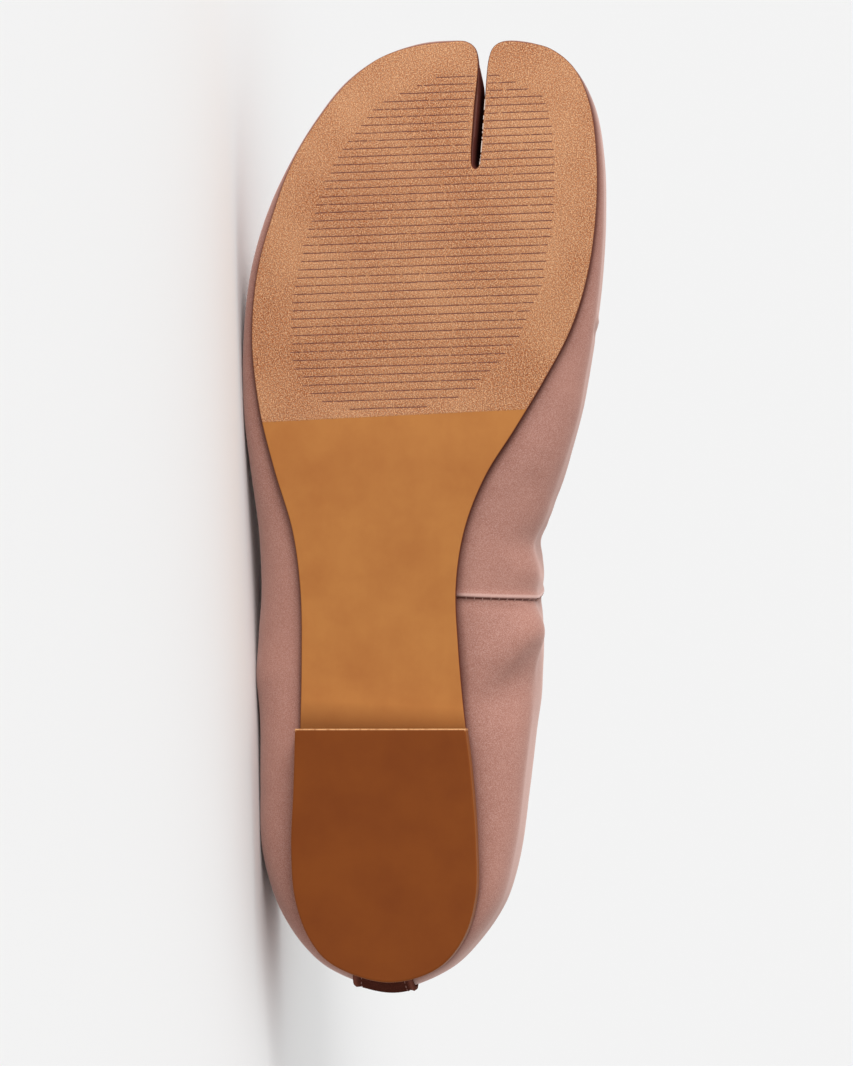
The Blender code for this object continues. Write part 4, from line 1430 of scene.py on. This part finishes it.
def makeStrip():
    half, count, fold = stripReach(), strip["columns"] + 1, strip["foldWidth"]
    shares = np.linspace(-1, 1, count)
    wide = stripSections(strip["centre"] + shares * half)
    narrow = stripSections(strip["centre"] + shares * half * (1 - strip["taper"]))
    fromEdge = (1 - np.abs(shares)) * strip["width"] / 2
    proud = strip["foldHeight"] * bell((fromEdge / fold - strip["foldAt"]) / strip["foldSpread"])
    proud -= strip["valley"] * bell((fromEdge - fold * strip["valleyAt"]) / strip["valleySpread"])
    proud -= strip["thickness"] * strip["edgeShare"] * bell(fromEdge / strip["edgeSpread"])
    face = stripSkin(wide, narrow, shoe["fitGap"] + strip["thickness"] + proud)
    back = stripSkin(wide, narrow, np.full(count, shoe["fitGap"]))
    rows = np.concatenate([face, back])
    ids = np.arange(len(rows) * count).reshape(-1, count)
    a, b = ids[:len(face)], ids[len(face):]
    columns, steps = np.arange(count) < count - 1, np.arange(len(face)) < len(face) - 1
    faces = [gridFaces(a, columns), gridFaces(b, columns)]
    for end in (0, -1):
        faces += [gridFaces([a[end], b[end]], columns), gridFaces([a[:, end], b[:, end]], steps)]
    high = np.tile(walked(face), (2, 1))
    across = np.broadcast_to(shares * strip["width"] / 2, high.shape)
    uv = np.stack((high.ravel(), across.ravel()), 1) * mm
    obj = meshObject("back_strip_satin", rows.reshape(-1, 3), np.concatenate(faces), looks["stripSatinShaded"],
                     weld=1e-8, uv=uv, uvName="satinUv")
    # painted highlight along the strip's folded edges
    paint(obj.data, lip=np.tile(bell((fromEdge / fold - strip["foldHighlightAt"]) / strip["foldHighlightAt"]), len(rows)))
    stitched = int(np.argmin(np.abs(fromEdge[:count // 2] - strip["stitchInset"])))
    margin = strip["stitchMargin"]
    return obj, [face[margin:-margin, column] for column in (stitched, count - 1 - stitched)]


backStrip, stripStitchPaths = makeStrip()
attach(backStrip, "root")
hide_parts("back_strip")


# small repeats by Geometry Nodes
repeats = {
    "wobbleNoise": {"Scale": 330.0, "Detail": 2.0},
    "tubeSides": {"Resolution": 6},
    "bead": {"Segments": 8, "Rings": 6, "Radius": 1.0},
}


class NodeShop(TreeTools):
    def __init__(self, name, inputs):
        super().__init__(bpy.data.node_groups.new(name, "GeometryNodeTree"))
        face = self.tree.interface
        face.new_socket(name="Geometry", in_out="OUTPUT", socket_type="NodeSocketGeometry")
        face.new_socket(name="Geometry", in_out="INPUT", socket_type="NodeSocketGeometry")
        self.sockets = {}
        for label, kind in inputs.items():
            self.sockets[label] = face.new_socket(name=label, in_out="INPUT", socket_type=kind).identifier
        self.given = self.node("NodeGroupInput").outputs
        self.result = self.node("NodeGroupOutput")

    def finish(self, geometry):
        realized = self.node("GeometryNodeRealizeInstances", Geometry=geometry)
        painted = self.node("GeometryNodeSetMaterial",
                            Geometry=realized.outputs[0], Material=self.given["Material"])
        self.put(self.result.inputs["Geometry"], painted.outputs[0])
        return self


def makeLineShop():
    shop = NodeShop("pressedLines", {
        "Half width": "NodeSocketFloat",
        "Wobble": "NodeSocketFloat",
        "Gap share": "NodeSocketFloat",
        "Seed": "NodeSocketInt",
        "Material": "NodeSocketMaterial",
    })
    given = shop.given
    here = shop.node("GeometryNodeInputPosition")
    noise = shop.node("ShaderNodeTexNoise", repeats["wobbleNoise"], Vector=here.outputs[0])
    moved = shop.math("MULTIPLY", shop.math("SUBTRACT", noise.outputs["Fac"], 0.5), given["Wobble"])
    offset = shop.node("ShaderNodeCombineXYZ", X=moved)
    waved = shop.node("GeometryNodeSetPosition", Geometry=given["Geometry"], Offset=offset.outputs[0])
    chance = shop.node("FunctionNodeRandomValue", {"data_type": "BOOLEAN"},
                       Probability=given["Gap share"], Seed=given["Seed"])
    gone = chance.outputs[3]  # the yes or no of the node's outputs
    kept = shop.node("GeometryNodeDeleteGeometry", {"domain": "EDGE"},
                     Geometry=waved.outputs[0], Selection=gone)
    curve = shop.node("GeometryNodeMeshToCurve", Mesh=kept.outputs[0])
    profile = shop.node("GeometryNodeCurvePrimitiveCircle", repeats["tubeSides"],
                        Radius=given["Half width"])
    tube = shop.node("GeometryNodeCurveToMesh", {"Fill Caps": True},
                     Curve=curve.outputs[0], Profile_Curve=profile.outputs[0])
    return shop.finish(tube.outputs[0])


def makeStitchShop():
    shop = NodeShop("stitches", {
        "Spacing": "NodeSocketFloat",
        "Stitch size": "NodeSocketVector",
        "Uneven": "NodeSocketVector",
        "Seed": "NodeSocketInt",
        "Material": "NodeSocketMaterial",
    })
    given = shop.given
    curve = shop.node("GeometryNodeMeshToCurve", Mesh=given["Geometry"])
    spots = shop.node("GeometryNodeCurveToPoints", {"mode": "LENGTH"},
                      Curve=curve.outputs[0], Length=given["Spacing"])
    bead = shop.node("GeometryNodeMeshUVSphere", repeats["bead"])
    turn = shop.node("FunctionNodeAlignRotationToVector", {"axis": "Z"}, Vector=spots.outputs["Tangent"])
    stitches = shop.node("GeometryNodeInstanceOnPoints",
                         Points=spots.outputs[0], Instance=bead.outputs[0],
                         Rotation=turn.outputs[0], Scale=given["Stitch size"])
    negative = shop.node("ShaderNodeVectorMath", {"operation": "SCALE", "Scale": -1.0})
    shop.put(negative.inputs[0], given["Uneven"])
    chance = shop.node("FunctionNodeRandomValue", {"data_type": "FLOAT_VECTOR"}, Seed=given["Seed"])
    shop.put(chance.inputs[0], negative.outputs[0])
    shop.put(chance.inputs[1], given["Uneven"])
    tilted = shop.node("GeometryNodeRotateInstances",
                       Instances=stitches.outputs[0], Rotation=chance.outputs[0])
    return shop.finish(tilted.outputs[0])


lineShop, stitchShop = makeLineShop(), makeStitchShop()


def runShop(name, shop, paths, values, material):
    # paths are rows of points in shoe millimetres; the result is one plain mesh
    edges, start = [], 0
    for path in paths:
        edges += [(start + k, start + k + 1) for k in range(len(path) - 1)]
        start += len(path)
    mesh = bpy.data.meshes.new(name + "_paths")
    mesh.from_pydata([tuple(p) for p in toRow(np.concatenate(paths))], edges, [])
    source = bpy.data.objects.new(name + "_paths", mesh)
    bpy.context.scene.collection.objects.link(source)
    modifier = source.modifiers.new("nodes", "NODES")
    modifier.node_group = shop.tree
    for label, value in {**values, "Material": material}.items():
        modifier[shop.sockets[label]] = value
    graph = bpy.context.evaluated_depsgraph_get()
    made = bpy.data.meshes.new_from_object(source.evaluated_get(graph), depsgraph=graph)
    source.modifiers.remove(modifier)
    bpy.data.objects.remove(source)
    made.name = name
    made.shade_smooth()
    obj = bpy.data.objects.new(name, made)
    bpy.context.scene.collection.objects.link(obj)
    return obj


print("tread lines")
treadLine = {
    "halfWidth": 0.12,
    "depth": 0.06,
    "step": 0.55,
    "wobble": 0.3,
    "gapShare": 0.07,
    "seed": 7,
    "clear": 0.3,
    "endSpread": 0.25,  # how unevenly the lines end
    "lookStep": 0.4,
    "leastLooks": 5,  # shorter stretches are left out
}


def treadPaths():
    paths = []
    rng = np.random.default_rng(treadLine["seed"])
    ring = outlineAt(treadLine["clear"], sole["outlineSteps"])
    for place in treadPlaces():
        low, high = (end + rng.normal(0, treadLine["endSpread"]) for end in treadEnds(place))
        ys = np.linspace(low, high, int((high - low) / treadLine["lookStep"]))
        line = np.column_stack((place + sole["lineSlant"] * ys, ys))
        changes = np.flatnonzero(np.diff(np.r_[0, insideOf(line, ring), 0]))
        for start, end in changes.reshape(-1, 2):
            if end - start < treadLine["leastLooks"]:
                continue
            a, b = line[start], line[end - 1]
            count = int(np.linalg.norm(b - a) / treadLine["step"])
            even = a + (b - a) * np.linspace(0, 1, count + 1)[:, None]
            paths.append(np.column_stack((even, soleUnderside(even[:, 0]) + treadLine["depth"])))
    return paths


treadLines = runShop("tread_lines", lineShop, treadPaths(), {
    "Half width": treadLine["halfWidth"] * mm,
    "Wobble": treadLine["wobble"] * mm,
    "Gap share": treadLine["gapShare"],
    "Seed": treadLine["seed"],
}, looks["treadLine"])
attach(treadLines, "root")


print("seam threads and stitches")
seamBar = {
    "halfWidth": 0.12,
    "reach": 0.45,
    "pitch": 2.25,
    "lift": 0.03,
    "seed": 11,
    "lookFrom": 60.0,  # distance of the rays' starts from a point inside the shoe
    "lookAt": (18.0, 22.0),  # y and z of that point
    "lookAngles": (-88.0, 0.0, 0.25),  # start, end, step
    "lookHeights": (22.0, 43.0, 0.1),
}


def seamBars():
    # short threads across the groove of the side seam
    tree = BVHTree.FromObject(upperSatin, bpy.context.evaluated_depsgraph_get())
    path = np.array(sideSeam["path"])
    (middleY, middleZ), far = seamBar["lookAt"], seamBar["lookFrom"]
    inwards = [(math.cos(a), math.sin(a)) for a in np.radians(np.arange(*seamBar["lookAngles"]))]
    rays = [(middleY + far * c, middleZ + far * s, -c, -s) for c, s in inwards]
    rays += [(middleY + far, z, -1.0, 0.0) for z in np.arange(*seamBar["lookHeights"])]
    bars, last = [], None
    for y, z, dy, dz in rays:
        found = []
        x = float(path[2, 0])
        aim = shoeTurn @ Vector((0, dy, dz))
        for dx in (0.0, -seamBar["reach"], seamBar["reach"]):
            spot, normal, *_ = tree.ray_cast(Vector(toRow([[x + dx, y, z]])[0]), aim)
            if spot is None:
                break
            at = toShoe([spot])[0]
            if not found:
                x = float(np.interp(at[2], path[:, 2], path[:, 0])) + sideSeam["grooveAt"]
            found.append(at + np.array(normal @ shoeTurn) * seamBar["lift"])
        if len(found) < 3 or (last is not None and np.linalg.norm(found[0] - last) < seamBar["pitch"]):
            continue
        last = found[0]
        bars.append(np.array([found[1], (found[1] + found[2]) / 2, found[2]]))
    return bars


seamThreads = runShop("seam_threads", lineShop, seamBars(), {
    "Half width": seamBar["halfWidth"] * mm,
    "Wobble": 0.0,
    "Gap share": 0.0,
    "Seed": seamBar["seed"],
}, looks["thread"])

fray = {
    "halfWidth": 0.15,
    "wobble": 0.25,
    "gapShare": 0.4,
    "seed": 11,
    "inset": 0.1,
    "drop": 0.02,  # below the sole's face
    "points": 60,
    "past": 0.25,  # rows of the sole's edge past the slit's middle
}


def frayPath():
    start, end = edgeIndex["slit_turn_inner"], edgeIndex["slit_mid_inner"] + fray["past"]
    u = np.linspace(start, end, fray["points"])
    foot, out, *_ = edgeAt(u)
    at = foot - out * fray["inset"]
    return np.column_stack((at, soleUnderside(at[:, 0]) - fray["drop"]))


slitFray = runShop("slit_fray", lineShop, [frayPath()], {
    "Half width": fray["halfWidth"] * mm,
    "Wobble": fray["wobble"] * mm,
    "Gap share": fray["gapShare"],
    "Seed": fray["seed"],
}, looks["fray"])

stitch = {"radius": 0.13, "length": 1.7, "spacing": 2.6, "uneven": math.radians(4), "seed": 11}
stripStitches = runShop("strip_stitches", stitchShop, stripStitchPaths, {
    "Spacing": stitch["spacing"] * mm,
    "Stitch size": Vector((stitch["radius"], stitch["radius"], stitch["length"] / 2)) * mm,
    "Uneven": Vector([stitch["uneven"]] * 3),
    "Seed": stitch["seed"],
}, looks["stripThreadShaded"])
for piece in (seamThreads, stripStitches, slitFray):
    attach(piece, "root")


print("camera and light")
camera = {
    "distance": 1500.0,
    "lens": 191.23,
    "sensor": 36.0,
    "clip": (0.05, 60.0),
    "viewCentre": (123.4, 7.3, 4.0),
    "yaw": math.radians(6.5),  # towards the inner side
    "pitch": math.radians(1.5),  # towards the heel
    "roll": math.radians(3.2),
}
floor = {"color": (0.86, 0.86, 0.86), "roughness": 0.9, "specular": 0.1, "reach": 30.0}
light = {
    "domeToe": 0.93,
    "domeHeel": 0.45,
    "domeStart": 0.0,  # how far round towards the heel the dome stays bright
    "sunPower": 2.62,
    "sunSize": math.radians(28),
    "sunFrom": (-0.75, -0.62, 0.26),
}


def makeCamera():
    yaw, pitch, roll = camera["yaw"], camera["pitch"], camera["roll"]
    back = Vector((-math.sin(pitch), math.cos(pitch) * math.sin(yaw), -math.cos(pitch) * math.cos(yaw)))
    right = (-back).cross(Vector((1, 0, 0))).normalized()
    if right.y < 0:
        right.negate()
    up = back.cross(right)
    rolledRight = right * math.cos(roll) + up * math.sin(roll)
    rolledUp = up * math.cos(roll) - right * math.sin(roll)
    turn = shoeTurn @ Matrix((rolledRight, rolledUp, back)).transposed()
    place = shoeToRow @ (Vector(camera["viewCentre"]) + back * camera["distance"])
    data = bpy.data.cameras.new("camera")
    data.lens = camera["lens"]
    data.sensor_width = camera["sensor"]
    data.clip_start, data.clip_end = camera["clip"]
    obj = bpy.data.objects.new("camera", data)
    obj.matrix_world = Matrix.Translation(place) @ turn.to_4x4()
    bpy.context.scene.collection.objects.link(obj)
    bpy.context.scene.camera = obj


def makeFloor():
    mesh = bpy.data.meshes.new("floor")
    far = floor["reach"]
    mesh.from_pydata([(-far, -far, 0), (far, -far, 0), (far, far, 0), (-far, far, 0)], [], [(0, 1, 2, 3)])
    m = MaterialTree("paleFloor")
    m.finish(floor["color"], floor["roughness"], Specular_IOR_Level=floor["specular"])
    mesh.materials.append(m.material)
    obj = bpy.data.objects.new("floor", mesh)
    bpy.context.scene.collection.objects.link(obj)


def makeDome():
    # a white sky, brighter on the toe's side
    world = bpy.data.worlds.new("studio")
    bpy.context.scene.world = world
    world.use_nodes = True
    sky = TreeTools(world.node_tree)
    background = sky.tree.nodes["Background"]
    background.inputs["Color"].default_value = (1.0, 1.0, 1.0, 1.0)
    coords = sky.node("ShaderNodeTexCoord")
    axes = sky.node("ShaderNodeSeparateXYZ", Vector=coords.outputs["Generated"])
    spread = sky.node("ShaderNodeMapRange", {
        "interpolation_type": "SMOOTHSTEP",
        "From Min": light["domeStart"],
        "From Max": 1.0,
        "To Min": light["domeToe"],
        "To Max": light["domeHeel"],
    }, Value=axes.outputs["X"])
    sky.put(background.inputs["Strength"], spread.outputs[0])


def makeSun():
    sun = bpy.data.lights.new("softSun", "SUN")
    sun.energy = light["sunPower"]
    sun.angle = light["sunSize"]
    obj = bpy.data.objects.new("softSun", sun)
    obj.rotation_mode = "QUATERNION"
    obj.rotation_quaternion = Vector(light["sunFrom"]).to_track_quat("Z", "Y")
    bpy.context.scene.collection.objects.link(obj)


makeCamera()
makeFloor()
makeDome()
makeSun()
bpy.context.scene.view_settings.view_transform = "Standard"
